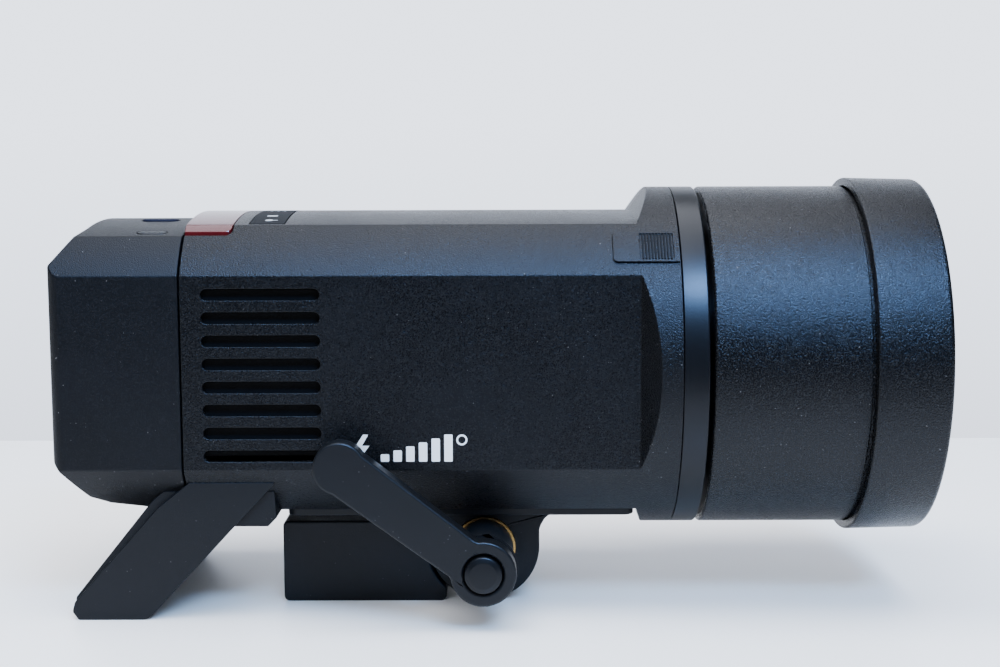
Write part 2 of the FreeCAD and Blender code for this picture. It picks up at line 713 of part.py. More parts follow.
def base_screws():
    screws = []
    for x, y in base_screw_places():
        shank = rod_z(BASE_Z0 + 0.2, BASE_SCREW_SEAT, x, y, 2.1)
        head = rod_z(BASE_SCREW_SEAT, BASE_SCREW_SEAT + 1.8, x, y, 3.6)
        screws.append(fuse([shank, head]))
    return group(screws)


def ear(y0, y1):
    disc = rod_y(y0, y1, TILT_X, TILT_Z, EAR_R)
    neck = plate_y(
        [(TILT_X - EAR_R, TILT_Z + 4), (TILT_X + EAR_R, TILT_Z + 4),
         (TILT_X + EAR_R + 4, BASE_Z0), (TILT_X - EAR_R - 4, BASE_Z0)], y0, y1)
    below = box(TILT_X - 40, TILT_X + 40, y0, y1, 0, BASE_Z0)
    return fuse([disc, neck]).common(below).cut(rod_y(y0 - 1, y1 + 1, TILT_X, TILT_Z, BOLT_R + RUN))


def tilt_fork():
    pad = box(TILT_X - 26, TILT_X + 26, -EAR_OUT_Y, EAR_OUT_Y, BASE_Z0 - 0.8, BASE_Z0)
    return fuse([ear(-EAR_OUT_Y, -EAR_IN_Y), ear(EAR_IN_Y, EAR_OUT_Y), pad])


def handle():
    """A core with a wide foot, between two side plates that form the slanted arms."""
    plate = [
        (-108.2, 52.0), (-119.2, 40.2), (-149.3, 6.4), (-150.2, 3.2), (-148.0, 0.0),
        (-127.0, 0.0), (-122.5, 1.1), (-119.7, 4.1), (-93.0, 32.8), (-76.0, 52.0),
    ]
    core = [
        (-111.4, 52.0), (-121.6, 41.6), (-149.3, 7.4), (-150.2, 3.2), (-148.0, 0.0),
        (-127.0, 0.0), (-122.5, 1.1), (-119.7, 4.1), (-93.0, 32.8), (-81.0, 32.8),
        (-77.9, 36.0), (-79.0, 52.0),
    ]
    sides = plate_y(plate, -HANDLE_Y, HANDLE_Y).cut(box(-160, -70, -HANDLE_CORE_Y, HANDLE_CORE_Y, -1, 60))
    solid = fuse([sides, plate_y(core, -HANDLE_CORE_Y, HANDLE_CORE_Y)])
    inner = HANDLE_Y - HANDLE_ARM
    grip = box(-160, -97.0, -inner, inner, 14.0, 70)
    body = rod_x(-200, 60, 0, AXIS_Z, BODY_R + 0.05)
    rear = body_bar(REAR_X - 5, FLAT_END_X, -0.05)
    solid = cut(solid, [grip, body.common(rear)])
    bolts = [rod_z(30, 60, x, y, 2.6) for x, y in handle_bolt_places()]
    return cut(solid, bolts)


def handle_bolt_places():
    return [(x, y) for x in (-92.0, -84.0) for y in (-20.0, 20.0)]


def handle_screws():
    screws = []
    for x, y in handle_bolt_places():
        screws.append(rod_z(33.2, AXIS_Z - 47.2, x, y, 2.5))
    return group(screws)


# ---- Tilting stand bracket -------------------------------------------------------------------------
CLAMP_TRAVEL = 3.0        # of the stand knob and its pad, from open to tight
KNOB_X = -62.0
KNOB_Z = 15.0


def bracket_block():
    block = box(BLOCK_X0, BLOCK_X1, -EAR_OUT_Y, EAR_OUT_Y, 0, BLOCK_TOP_Z)
    block = rounded(block, Y_DIR, 2.0)
    tongue = fuse([
        rod_y(-TONGUE_HALF, TONGUE_HALF, TILT_X, TILT_Z, TONGUE_R),
        box(BLOCK_X1 - 3, TILT_X, -TONGUE_HALF, TONGUE_HALF, TILT_Z - TONGUE_R, TILT_Z + 8.0),
    ])
    block = cut(block, [ear_room()])
    bracket = fuse([block, tongue])
    holes = [
        rod_y(-30, 30, TILT_X, TILT_Z, BOLT_R + 0.3),
        rod_x(BLOCK_X0 - 1, BLOCK_X0 + SOCKET_DEPTH, 0, KNOB_Z, SOCKET_R + 1.5),
        rod_z(-1, BLOCK_TOP_Z + 1, UMBRELLA_X, 0, UMBRELLA_R),
        rod_y(0, EAR_OUT_Y + 1, KNOB_X, KNOB_Z, 4.0 + RUN),
        rod_y(0, EAR_OUT_Y + 1, UMBRELLA_X, TILT_Z, 2.5 + RUN),
    ]
    return cut(bracket, holes)


def ear_room():
    """Room for the fork's ears, which turn past the block."""
    sweep = rod_y(-60, 60, TILT_X, TILT_Z, EAR_R + 1.0)
    flare = box(TILT_X - EAR_R - 4, TILT_X, -60, 60, TILT_Z, BLOCK_TOP_Z + 1)
    return fuse([sweep, flare]).cut(rod_y(-TONGUE_HALF, TONGUE_HALF, TILT_X, TILT_Z, 50))


def socket_liner():
    liner = tube_x(BLOCK_X0, BLOCK_X0 + SOCKET_DEPTH, 0, KNOB_Z, SOCKET_R + 1.5, SOCKET_R)
    return liner.cut(rod_y(0, 20, KNOB_X, KNOB_Z, 4.2))


def clamp_pad():
    return rod_y(8.6, 12.0, KNOB_X, KNOB_Z, 3.8)


def knob_y(x, z, y_shank, r_shank, r_head, y0, y1, lobes):
    shank = rod_y(y_shank, y0 + 1, x, z, r_shank)
    neck = rod_y(EAR_OUT_Y + CLAMP_TRAVEL + 0.6, y0 + 1, x, z, r_shank + 2)
    head = rod_y(y0, y1, x, z, r_head)
    scallops = []
    for index in range(lobes):
        scallop = rod_y(y0 - 1, y1 + 1, x, z + r_head + 1.6, 3.2)
        scallop.rotate(vec(x, 0, z), Y_DIR, 360.0 / lobes * index)
        scallops.append(scallop)
    return cut(fuse([shank, neck, head]), scallops)


def stand_knob():
    return knob_y(KNOB_X, KNOB_Z, 12.3, 4.0, 14.0, 50.0, 68.0, 8)


def umbrella_screw():
    return knob_y(UMBRELLA_X, TILT_Z, UMBRELLA_R + 0.6, 2.5, 7.0, 34.0, 44.0, 6)


def tilt_bolt():
    return rod_y(-57.5, EAR_OUT_Y + 8.5, TILT_X, TILT_Z, BOLT_R)


def tilt_nut():
    nut = rod_y(EAR_OUT_Y, EAR_OUT_Y + 8, TILT_X, TILT_Z, 9.0)
    flats = []
    for index in range(6):
        flat = box(TILT_X - 20, TILT_X + 20, EAR_OUT_Y - 1, EAR_OUT_Y + 9, TILT_Z + 8.0, TILT_Z + 20)
        flat.rotate(vec(TILT_X, 0, TILT_Z), Y_DIR, 60.0 * index)
        flats.append(flat)
    return cut(nut, flats + [rod_y(0, 60, TILT_X, TILT_Z, BOLT_R + RUN)])


def brass_washer():
    washer = rod_y(-28.1, -EAR_OUT_Y - 0.1, TILT_X, TILT_Z, 11.3)
    return washer.cut(rod_y(-40, 0, TILT_X, TILT_Z, BOLT_R + RUN))


def lever_collar():
    collar = rod_y(LEVER_Y1, -28.3, TILT_X, TILT_Z, COLLAR_R)
    return collar.cut(rod_y(-60, 0, TILT_X, TILT_Z, BOLT_R))


def clamp_lever():
    angle = math.radians(LEVER_ANGLE)
    tip_x = TILT_X - LEVER_LEN * math.cos(angle)
    tip_z = TILT_Z + LEVER_LEN * math.sin(angle)
    side_x = math.sin(angle)
    side_z = math.cos(angle)
    hub_w = LEVER_HUB_R * 0.82
    tip_w = LEVER_TIP_R * 0.86
    arm = plate_y(
        [(TILT_X + side_x * hub_w, TILT_Z + side_z * hub_w),
         (tip_x + side_x * tip_w, tip_z + side_z * tip_w),
         (tip_x - side_x * tip_w, tip_z - side_z * tip_w),
         (TILT_X - side_x * hub_w, TILT_Z - side_z * hub_w)], LEVER_Y0, LEVER_Y0 + 8.0)
    hub = rod_y(LEVER_Y0, LEVER_Y1, TILT_X, TILT_Z, LEVER_HUB_R)
    tip = rod_y(LEVER_Y0, LEVER_Y0 + 8.0, tip_x, tip_z, LEVER_TIP_R)
    lever = fuse([hub, arm, tip])
    return cut(lever, [rod_y(-62.5, -50, TILT_X, TILT_Z, BOLT_R), rod_y(-70, -62.4, TILT_X, TILT_Z, 6.6)])


def lever_cap():
    return rod_y(LEVER_Y0 - 2.0, -62.5, TILT_X, TILT_Z, 6.5)


# ---- Protective cap -----------------------------------------------------------------------------------
def cap_sleeve():
    return tube_x(SLEEVE_X, RIM_X + 3.0, 0, AXIS_Z, BODY_R, BODY_R - WALL)


def cap_rim():
    outer = Part.makeCone(BODY_R + 3.1, BODY_R + 2.0, FRONT_X - RIM_X, vec(RIM_X, 0, AXIS_Z), X_DIR)
    bore = rod_x(RIM_X + 4.0, FRONT_X + 1, 0, AXIS_Z, BODY_R - 0.8)
    seat = rod_x(RIM_X - 1, RIM_X + 5.0, 0, AXIS_Z, BODY_R + 0.1)
    front = [e for e in outer.Edges if abs(e.CenterOfMass.x - FRONT_X) < 0.1 and e.Length > 100]
    return cut(outer.makeFillet(1.2, front), [bore, seat])


def cap_face():
    return rod_x(FRONT_X - 5.0, FRONT_X - 2.6, 0, AXIS_Z, BODY_R - 0.9)


def cap_bayonet():
    spigot = tube_x(RING_X + 6.0, SLEEVE_X + 2.0, 0, AXIS_Z, SPIGOT_R, 44.4)
    disc = tube_x(SLEEVE_X, SLEEVE_X + 2.4, 0, AXIS_Z, BODY_R - WALL - 0.1, 44.4)
    lugs = []
    for index in range(BAYONET_COUNT):
        lug = box(RING_X + 3.0, RING_X + 6.1, -10, 10, AXIS_Z + 42, AXIS_Z + 60)
        lug = lug.common(tube_x(RING_X, RING_X + 9, 0, AXIS_Z, LUG_R, 44.4))
        lug.rotate(vec(0, 0, AXIS_Z), X_DIR, 120.0 * index)
        lugs.append(lug)
    ring = tube_x(RING_X + 3.0, RING_X + 6.1, 0, AXIS_Z, SPIGOT_R, 44.4)
    return fuse([spigot, disc, ring] + lugs)


# ---- Every sub-part -------------------------------------------------------------------------------------
def all_parts():
    shell = housing_shell()
    parts = {
        "housing_right": half_of(shell, -1),
        "housing_left": half_of(shell, 1),
        "base_plate": base_plate(),
        "base_screws": base_screws(),
        "tilt_fork": tilt_fork(),
        "handle": handle(),
        "handle_screws": handle_screws(),
        "receiver_window": receiver_window(),
        "port_cover": port_cover(),
        "port_sockets": group([usb_port(), sync_jack()]),
        "mount_ring": mount_ring(),
        "bayonet_flange": bayonet_flange(),
        "ring_screws": ring_screws(),
        "release_slider": release_slider(),
        "lock_pin": lock_pin(),
        "lamp_base": lamp_base(),
        "reflector_plate": reflector_plate(),
        "flash_tube": flash_tube(),
        "modelling_led": modelling_led(),
        "glass_dome": glass_dome(),
        "capacitor_bank": capacitor_bank(),
        "power_board": power_board(),
        "main_board": main_board(),
        "trigger_transformer": trigger_transformer(),
        "heat_sink": heat_sink(),
        "fan_frame": fan_frame(),
        "fan_rotor": fan_rotor(),
        "control_housing": control_housing(),
        "battery_rail": battery_rail(),
        "display_lens": display_lens(),
        "display_board": display_board(),
        "select_dial": select_dial(),
        "set_button": set_button(),
        "test_button": round_key(PANEL_Y - SIDE_KEY_Y, DIAL_Z, SIDE_KEY_R),
        "power_button": round_key(PANEL_Y + SIDE_KEY_Y, DIAL_Z, SIDE_KEY_R),
        "battery_case": battery_case(),
        "battery_lid": battery_lid(),
        "battery_contacts": battery_contacts(),
        "battery_cells": battery_cells(),
        "battery_release": release_button(),
        "level_window": level_window(),
        "bracket_block": bracket_block(),
        "socket_liner": socket_liner(),
        "clamp_pad": clamp_pad(),
        "stand_knob": stand_knob(),
        "umbrella_screw": umbrella_screw(),
        "tilt_bolt": tilt_bolt(),
        "tilt_nut": tilt_nut(),
        "brass_washer": brass_washer(),
        "lever_collar": lever_collar(),
        "clamp_lever": clamp_lever(),
        "lever_cap": lever_cap(),
        "cap_sleeve": cap_sleeve(),
        "cap_rim": cap_rim(),
        "cap_face": cap_face(),
        "cap_bayonet": cap_bayonet(),
    }
    for index, y in enumerate(key_ys()):
        parts["function_key_" + str(index + 1)] = key(y)
    return parts


os.makedirs(PARTS, exist_ok=True)
for part_name, part_shape in all_parts().items():
    write(part_name, part_shape)
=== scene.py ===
import math
import json
import bpy
import bmesh
from mathutils import Matrix, Vector


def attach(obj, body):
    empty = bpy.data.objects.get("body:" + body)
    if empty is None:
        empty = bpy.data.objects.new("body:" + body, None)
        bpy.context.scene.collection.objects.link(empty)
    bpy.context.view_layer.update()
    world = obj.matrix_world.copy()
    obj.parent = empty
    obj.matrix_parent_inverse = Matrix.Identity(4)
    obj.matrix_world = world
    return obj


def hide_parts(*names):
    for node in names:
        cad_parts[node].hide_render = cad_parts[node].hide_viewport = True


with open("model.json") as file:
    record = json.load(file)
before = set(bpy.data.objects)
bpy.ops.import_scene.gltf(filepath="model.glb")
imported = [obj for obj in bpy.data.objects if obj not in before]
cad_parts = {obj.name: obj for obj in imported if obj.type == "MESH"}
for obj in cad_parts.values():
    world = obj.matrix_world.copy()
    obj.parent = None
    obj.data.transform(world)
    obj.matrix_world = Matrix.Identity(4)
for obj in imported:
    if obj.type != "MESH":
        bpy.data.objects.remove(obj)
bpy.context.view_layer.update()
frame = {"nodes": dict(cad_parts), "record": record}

# Battery monolight strobe with its protective cap. Shapes are given in millimetres: +X is the way
# the lamp fires, +Z is up, and -Y is the side with the tilt lever.
MM = 0.001

# ---- Main sizes of the body ---------------------------------------------------------------------
AXIS_Z = 88.0
BODY_R = 62.5
REAR_X = -154.3
SEAM_X = -109.3
FLAT_END_X = 49.4
RING_X = 63.2
RING_FRONT_X = 72.1
SLEEVE_X = 73.9
RIM_X = 128.3
FRONT_X = 154.3
SIDE_Y = 52.6
TOP_EDGE_Z = 50.5
CROWN_RISE = 3.4
CROWN_TOP = TOP_EDGE_Z + CROWN_RISE
CROWN_HALF = math.sqrt(BODY_R ** 2 - TOP_EDGE_Z ** 2)
CROWN_R = (CROWN_HALF ** 2 + CROWN_RISE ** 2) / (2 * CROWN_RISE)
BOTTOM = 51.5
REAR_DROP = 2.7
REAR_LIFT = 1.7
WALL = 2.5
GAP = 0.3
SLIDER_DEG = 46.8         # the release slider's place, from the top towards -Y
PORTS_X = -80.9           # the row of sockets under the port cover


# ---- Mesh building ------------------------------------------------------------------------------
def from_lists(name, verts, faces):
    mesh = bpy.data.meshes.new(name)
    mesh.from_pydata([Vector(v) * MM for v in verts], [], faces)
    work = bmesh.new()
    work.from_mesh(mesh)
    bmesh.ops.recalc_face_normals(work, faces=work.faces)
    work.to_mesh(mesh)
    work.free()
    obj = bpy.data.objects.new(name, mesh)
    bpy.context.scene.collection.objects.link(obj)
    return obj


def place(axis, u, v, along):
    """A point from its two outline coordinates and its distance along an axis."""
    if axis == "X":
        return (along, u, v)
    if axis == "Y":
        return (u, along, v)
    return (u, v, along)


def prism(name, outline, axis, start, end):
    count = len(outline)
    verts = [place(axis, u, v, start) for u, v in outline]
    verts += [place(axis, u, v, end) for u, v in outline]
    sides = [(i, (i + 1) % count, (i + 1) % count + count, i + count) for i in range(count)]
    caps = [tuple(range(count)), tuple(range(count, 2 * count))]
    return from_lists(name, verts, sides + caps)


def block(name, x0, x1, y0, y1, z0, z1):
    return prism(name, [(x0, z0), (x1, z0), (x1, z1), (x0, z1)], "Y", y0, y1)


def softened(corners, step=9.0):
    """Outline of (u, v, radius) corners as plain points, with each corner rounded."""
    points = []
    count = len(corners)
    for i, (u, v, radius) in enumerate(corners):
        corner = Vector((u, v))
        if radius <= 0:
            points.append((u, v))
            continue
        before = Vector(corners[i - 1][:2]) - corner
        after = Vector(corners[(i + 1) % count][:2]) - corner
        half = before.angle(after) / 2
        reach = min(radius / math.tan(half), before.length * 0.49, after.length * 0.49)
        bend = reach * math.tan(half)
        middle = corner + (before.normalized() + after.normalized()).normalized() * bend / math.sin(half)
        first = corner + before.normalized() * reach - middle
        last = corner + after.normalized() * reach - middle
        start = math.atan2(first.y, first.x)
        sweep = math.atan2(last.y, last.x) - start
        sweep = (sweep + math.pi) % (2 * math.pi) - math.pi
        parts = max(3, round(abs(math.degrees(sweep)) / step))
        for k in range(parts + 1):
            angle = start + sweep * k / parts
            points.append((middle.x + bend * math.cos(angle), middle.y + bend * math.sin(angle)))
    return points


def circle(u, v, radius, count=64):
    return [(u + radius * math.cos(math.tau * i / count), v + radius * math.sin(math.tau * i / count))
            for i in range(count)]


def arc(u, v, radius, start, end, parts):
    """Points round part of a circle, from one angle in degrees to another."""
    angles = [math.radians(start + (end - start) * i / parts) for i in range(parts + 1)]
    return [(u + radius * math.cos(a), v + radius * math.sin(a)) for a in angles]


def stadium(u, v, length, height):
    """Long outline with round ends, its length along u."""
    half = (length - height) / 2
    return arc(u + half, v, height / 2, -90, 90, 16) + arc(u - half, v, height / 2, 90, 270, 16)


def rounded(u0, v0, u1, v1, radius):
    """Rectangular outline with four equal round corners."""
    return softened([(u0, v0, radius), (u1, v0, radius), (u1, v1, radius), (u0, v1, radius)])


def revolved(name, profile, axis, u, v, steps=192):
    """Closed profile of (along, radius) points turned about an axis through (u, v)."""
    verts = []
    rows = []
    for along, radius in profile:
        if radius < 1e-6:
            rows.append([len(verts)] * steps)
            verts.append(place(axis, u, v, along))
            continue
        rows.append(list(range(len(verts), len(verts) + steps)))
        for i in range(steps):
            angle = math.tau * i / steps
            verts.append(place(axis, u + radius * math.cos(angle), v + radius * math.sin(angle), along))
    faces = []
    for a, b in zip(rows, rows[1:] + rows[:1]):
        for i in range(steps):
            j = (i + 1) % steps
            face = []
            for index in (a[i], a[j], b[j], b[i]):
                if index not in face:
                    face.append(index)
            if len(face) > 2:
                faces.append(tuple(face))
    return from_lists(name, verts, faces)


def baked(obj):
    """Applies the object's modifiers."""
    graph = bpy.context.evaluated_depsgraph_get()
    mesh = bpy.data.meshes.new_from_object(obj.evaluated_get(graph))
    obj.modifiers.clear()
    obj.data = mesh
    return obj


def combine(obj, others, operation):
    for other in others:
        step = obj.modifiers.new(operation.lower(), "BOOLEAN")
        step.operation = operation
        step.solver = "EXACT"
        step.object = other
        baked(obj)
        bpy.data.objects.remove(other)
    return obj


def cut(obj, *cutters):
    return combine(obj, cutters, "DIFFERENCE")


def keep(obj, *others):
    return combine(obj, others, "INTERSECT")


def add(obj, *others):
    return combine(obj, others, "UNION")


def joined(name, objects):
    """Several meshes that don't touch, as one object."""
    work = bmesh.new()
    for obj in objects:
        work.from_mesh(obj.data)
        bpy.data.objects.remove(obj)
    mesh = bpy.data.meshes.new(name)
    work.to_mesh(mesh)
    work.free()
    whole = bpy.data.objects.new(name, mesh)
    bpy.context.scene.collection.objects.link(whole)
    return whole


def copied(name, source):
    """An object with its own copy of another's mesh."""
    obj = bpy.data.objects.new(name, source.data.copy())
    bpy.context.scene.collection.objects.link(obj)
    return obj


def both_ends(side, near, far):
    """The two Y ends, in order, of something on one side of the middle."""
    return sorted((side * near, side * far))


def bent(plate, cuts, moved):
    """Cuts a flat plate at each Y, then moves its points by a rule from (y, height) to (y, z)."""
    work = bmesh.new()
    work.from_mesh(plate.data)
    for y in cuts:
        everything = work.verts[:] + work.edges[:] + work.faces[:]
        bmesh.ops.bisect_plane(work, geom=everything, plane_co=(0, y * MM, 0), plane_no=(0, 1, 0), dist=1e-7)
    for vert in work.verts:
        y, z = moved(vert.co.y / MM, vert.co.z / MM)
        vert.co.y = y * MM
        vert.co.z = z * MM
    bmesh.ops.recalc_face_normals(work, faces=work.faces)
    work.to_mesh(plate.data)
    work.free()
    return plate


def turned(obj, axis, degrees, centre):
    """Turns the mesh itself about an axis through a point in millimetres."""
    pivot = Vector(centre) * MM
    turn = Matrix.Rotation(math.radians(degrees), 4, axis)
    obj.data.transform(Matrix.Translation(pivot) @ turn @ Matrix.Translation(-pivot))
    return obj


def dress(obj, name, body, material, nodes=(), edge=0.0, angle=28.0, segments=3):
    """Finishes a piece: smooth shading, softened edges, its material, and its place in the frame."""
    obj.name = name
    obj.data.materials.clear()
    obj.data.materials.append(material)
    for face in obj.data.polygons:
        face.use_smooth = True
        face.material_index = 0
    if edge:
        soft = obj.modifiers.new("edges", "BEVEL")
        soft.width = edge * MM
        soft.segments = segments
        soft.limit_method = "ANGLE"
        soft.angle_limit = math.radians(angle)
        soft.harden_normals = True
        soft.use_clamp_overlap = False
        soft.miter_outer = "MITER_ARC"
    else:
        obj.data.set_sharp_from_angle(angle=math.radians(angle))
    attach(obj, body)
    if nodes:
        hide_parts(*nodes)
    return obj


# ---- Materials ----------------------------------------------------------------------------------
def link(tree, source, output, target, socket):
    tree.links.new(source.outputs[output], target.inputs[socket])


def noise(tree, coords, scale, detail):
    node = tree.nodes.new("ShaderNodeTexNoise")
    node.inputs["Scale"].default_value = scale
    node.inputs["Detail"].default_value = detail
    link(tree, coords, "Object", node, "Vector")
    return node


def ramp(tree, source, low, high, a, b):
    """Maps a noise value from low..high onto a..b, clamped."""
    node = tree.nodes.new("ShaderNodeMapRange")
    node.inputs["From Min"].default_value = low
    node.inputs["From Max"].default_value = high
    node.inputs["To Min"].default_value = a
    node.inputs["To Max"].default_value = b
    link(tree, source, "Fac", node, "Value")
    return node


def blend(tree, under, color, factor):
    """Lays a plain colour over another node's colour, as much as a factor node says."""
    node = tree.nodes.new("ShaderNodeMix")
    node.data_type = "RGBA"
    node.inputs["B"].default_value = (*color, 1)
    link(tree, factor, "Result", node, "Factor")
    link(tree, under, "Result", node, "A")
    return node


DUST_COLOR = (0.16, 0.16, 0.17)


def finish(name, color, roughness, metallic=0.0, grain=0.0, grain_size=0.4, spread=0.06, shade=0.06,
           dust=0.0, coat=0.0, level=0.5, sheen=0.0, painted_glint=0.0):
    """A surface with fine grain, uneven gloss, slight colour variation, painted glints (lighter specks in the
    base colour) and a few dust specks.
    """
    material = bpy.data.materials.new(name)
    material.use_nodes = True
    tree = material.node_tree
    shader = tree.nodes["Principled BSDF"]
    shader.inputs["Metallic"].default_value = metallic
    shader.inputs["Coat Weight"].default_value = coat
    shader.inputs["Coat Roughness"].default_value = 0.15
    shader.inputs["Specular IOR Level"].default_value = level
    shader.inputs["Sheen Weight"].default_value = sheen
    coords = tree.nodes.new("ShaderNodeTexCoord")
    cloud = noise(tree, coords, 26.0, 3.0)
    fine = noise(tree, coords, 1000.0 / grain_size, 2.0)
    gloss = tree.nodes.new("ShaderNodeMath")
    gloss.operation = "ADD"
    broad = ramp(tree, cloud, 0.3, 0.7, roughness - spread / 4, roughness + spread / 4)
    small = ramp(tree, fine, 0.35, 0.65, -spread / 2, spread / 2)
    link(tree, broad, "Result", gloss, 0)
    link(tree, small, "Result", gloss, 1)
    link(tree, gloss, "Value", shader, "Roughness")
    tint = tree.nodes.new("ShaderNodeMix")
    tint.data_type = "RGBA"
    tint.inputs["A"].default_value = [c * (1 - shade) for c in color] + [1]
    tint.inputs["B"].default_value = [c * (1 + shade) for c in color] + [1]
    link(tree, ramp(tree, cloud, 0.3, 0.7, 0.0, 1.0), "Result", tint, "Factor")
    last = tint
    # Painted glint: lighter specks in the base colour where the fine grain peaks, standing in for the glints
    # of light off the textured plastic.
    if painted_glint:
        last = blend(tree, last, [c + painted_glint for c in color], ramp(tree, fine, 0.54, 0.70, 0.0, 1.0))
    if dust:
        specks = noise(tree, coords, 1500.0, 0.0)
        last = blend(tree, last, DUST_COLOR, ramp(tree, specks, 0.86 - dust, 0.92 - dust, 0.0, 0.7))
    link(tree, last, "Result", shader, "Base Color")
    if grain:
        bump = tree.nodes.new("ShaderNodeBump")
        bump.inputs["Strength"].default_value = grain
        bump.inputs["Distance"].default_value = grain_size * 0.5 * MM
        link(tree, fine, "Fac", bump, "Height")
        link(tree, bump, "Normal", shader, "Normal")
    return material


TEXTURED = finish("textured_black", (0.0019, 0.0022, 0.0030), 0.33, grain=1.0, grain_size=0.46, spread=0.16,
                  dust=0.03, level=0.14, painted_glint=0.008)
REAR_TEXTURE = finish("rear_texture", (0.0019, 0.0022, 0.0030), 0.46, grain=0.65, grain_size=0.40,
                      spread=0.14, dust=0.03, level=0.15, painted_glint=0.004)
CAP_TEXTURE = finish("cap_texture", (0.0019, 0.0021, 0.0028), 0.28, grain=0.95, grain_size=0.52, spread=0.14,
                     dust=0.02, level=0.15, painted_glint=0.010)
SMOOTH = finish("smooth_black", (0.0024, 0.0028, 0.0038), 0.34, grain=0.15, grain_size=0.30,
                spread=0.07, level=0.16)
HANDLE = finish("handle_black", (0.0042, 0.0046, 0.0056), 0.42, grain=0.45, grain_size=0.35, spread=0.10,
                dust=0.03, level=0.16)
PAINT = finish("painted_metal", (0.0022, 0.0027, 0.0036), 0.44, grain=0.30, grain_size=0.55, spread=0.12,
               shade=0.15, dust=0.02, level=0.15)
LEVER = finish("lever_paint", (0.0044, 0.0050, 0.0062), 0.36, grain=0.35, grain_size=0.25, spread=0.08,
               dust=0.04, level=0.15)
RUBBER = finish("rubber", (0.0100, 0.0100, 0.0110), 0.66, grain=0.3, grain_size=0.35, dust=0.03,
                level=0.3, sheen=0.1)
STEEL = finish("steel", (0.55, 0.56, 0.58), 0.30, metallic=1.0, grain=0.08, grain_size=0.2)
BLACK_STEEL = finish("black_steel", (0.035, 0.036, 0.04), 0.35, metallic=0.8, grain=0.08, grain_size=0.2)
BRASS = finish("brass", (0.36, 0.22, 0.075), 0.38, metallic=1.0, grain=0.08, grain_size=0.2, spread=0.12)
ALUMINIUM = finish("aluminium", (0.70, 0.71, 0.73), 0.34, metallic=1.0, grain=0.08, grain_size=0.2)
CAST = finish("cast_metal", (0.030, 0.032, 0.036), 0.5, metallic=0.6, grain=0.5, grain_size=0.8)
CERAMIC = finish("white_ceramic", (0.80, 0.80, 0.78), 0.35, grain=0.05, grain_size=0.3)
BOARD = finish("circuit_board", (0.015, 0.10, 0.045), 0.35, grain=0.1, grain_size=0.8, coat=0.3)
CAN = finish("capacitor_can", (0.02, 0.03, 0.07), 0.25, grain=0.05, grain_size=0.5, coat=0.4)
WRAP = finish("cell_wrap", (0.10, 0.28, 0.42), 0.3, grain=0.05, grain_size=0.6, coat=0.3)
DARK_BLUE = finish("dark_blue", (0.0030, 0.0042, 0.0150), 0.70, grain=0.3, grain_size=0.35, level=0.10)
COPPER = finish("copper", (0.80, 0.38, 0.22), 0.28, metallic=1.0, grain=0.1, grain_size=0.4)
SCREEN = finish("screen", (0.006, 0.007, 0.009), 0.10, spread=0.02, coat=0.6)
PRINT = finish("white_print", (0.62, 0.66, 0.72), 0.50, grain=0.05, grain_size=0.3)
GREY_PRINT = finish("grey_print", (0.020, 0.022, 0.024), 0.50, grain=0.05, grain_size=0.3)
COVER = finish("cover_black", (0.0045, 0.0050, 0.0062), 0.68, grain=0.4, grain_size=0.35, dust=0.02,
               level=0.08)
ICON = finish("icon_print", (0.30, 0.32, 0.35), 0.55, grain=0.05, grain_size=0.3)
PIT = finish("dust_screen", (0.0015, 0.0015, 0.0017), 0.85, grain=0.3, grain_size=0.8, level=0.1)
LEVEL = finish("level_window", (0.0040, 0.0045, 0.0050), 0.40, spread=0.04, level=0.16)


def clear(name, color, roughness, density, level=0.5):
    """Tinted clear plastic or glass that also scatters a little light."""
    material = finish(name, color, roughness, spread=0.03, level=level)
    shader = material.node_tree.nodes["Principled BSDF"]
    shader.inputs["Transmission Weight"].default_value = density
    shader.inputs["IOR"].default_value = 1.49
    return material


GLASS = clear("clear_glass", (0.92, 0.94, 0.95), 0.04, 0.95)
RED = clear("red_window", (0.075, 0.006, 0.009), 0.12, 0.30, 0.26)

SLOTS = {
    "textured_black": TEXTURED, "smooth_black": SMOOTH, "painted_metal": PAINT, "rubber": RUBBER,
    "steel": STEEL, "black_steel": BLACK_STEEL, "brass": BRASS, "aluminium": ALUMINIUM,
    "cast_metal": CAST, "clear_glass": GLASS, "red_window": RED, "screen": SCREEN,
    "white_ceramic": CERAMIC, "circuit_board": BOARD, "capacitor_can": CAN, "cell_wrap": WRAP,
    "dark_blue": DARK_BLUE, "copper": COPPER,
}
for part in frame["record"]["subparts"]:
    node = frame["nodes"][part["node"]]
    node.data.materials.clear()
    node.data.materials.append(SLOTS[part["material_slot"]])


# ---- The body's section and its cutters ---------------------------------------------------------
def crown(y, drop=0.0):
    """Height of the crowned top above the axis."""
    return CROWN_TOP - drop - CROWN_R + math.sqrt(CROWN_R ** 2 - y * y)


def skin(y, drop=0.0):
    """Height of the body's upper surface above the axis, with the fold between top and corner eased."""
    top = crown(y, drop)
    side = math.sqrt(max(BODY_R ** 2 - y * y, 0.0))
    ease = 0.3
    return (top + side) / 2 - math.sqrt((top - side) ** 2 + ease ** 2) / 2 + ease * 0.1


def bar(name, x0, x1, inset=0.0, steps=256):
    return prism(name, circle(0, AXIS_Z, BODY_R - inset, steps), "X", x0, x1)


def side_cutter(side, inset=0.0):
    y = SIDE_Y - inset
    outline = [(-200, y), (FLAT_END_X, y), (FLAT_END_X + 9.05, y + 14), (FLAT_END_X + 9.05, 95), (-200, 95)]
    return prism("side", [(x, side * v) for x, v in outline], "Z", -5, 200)


def bottom_cutter(inset=0.0, low=BOTTOM):
    z = AXIS_Z - low + inset
    outline = [(-200, z), (FLAT_END_X, z), (FLAT_END_X + 4.33, z - 13), (FLAT_END_X + 4.33, -20), (-200, -20)]
    return prism("bottom", outline, "Y", -90, 90)


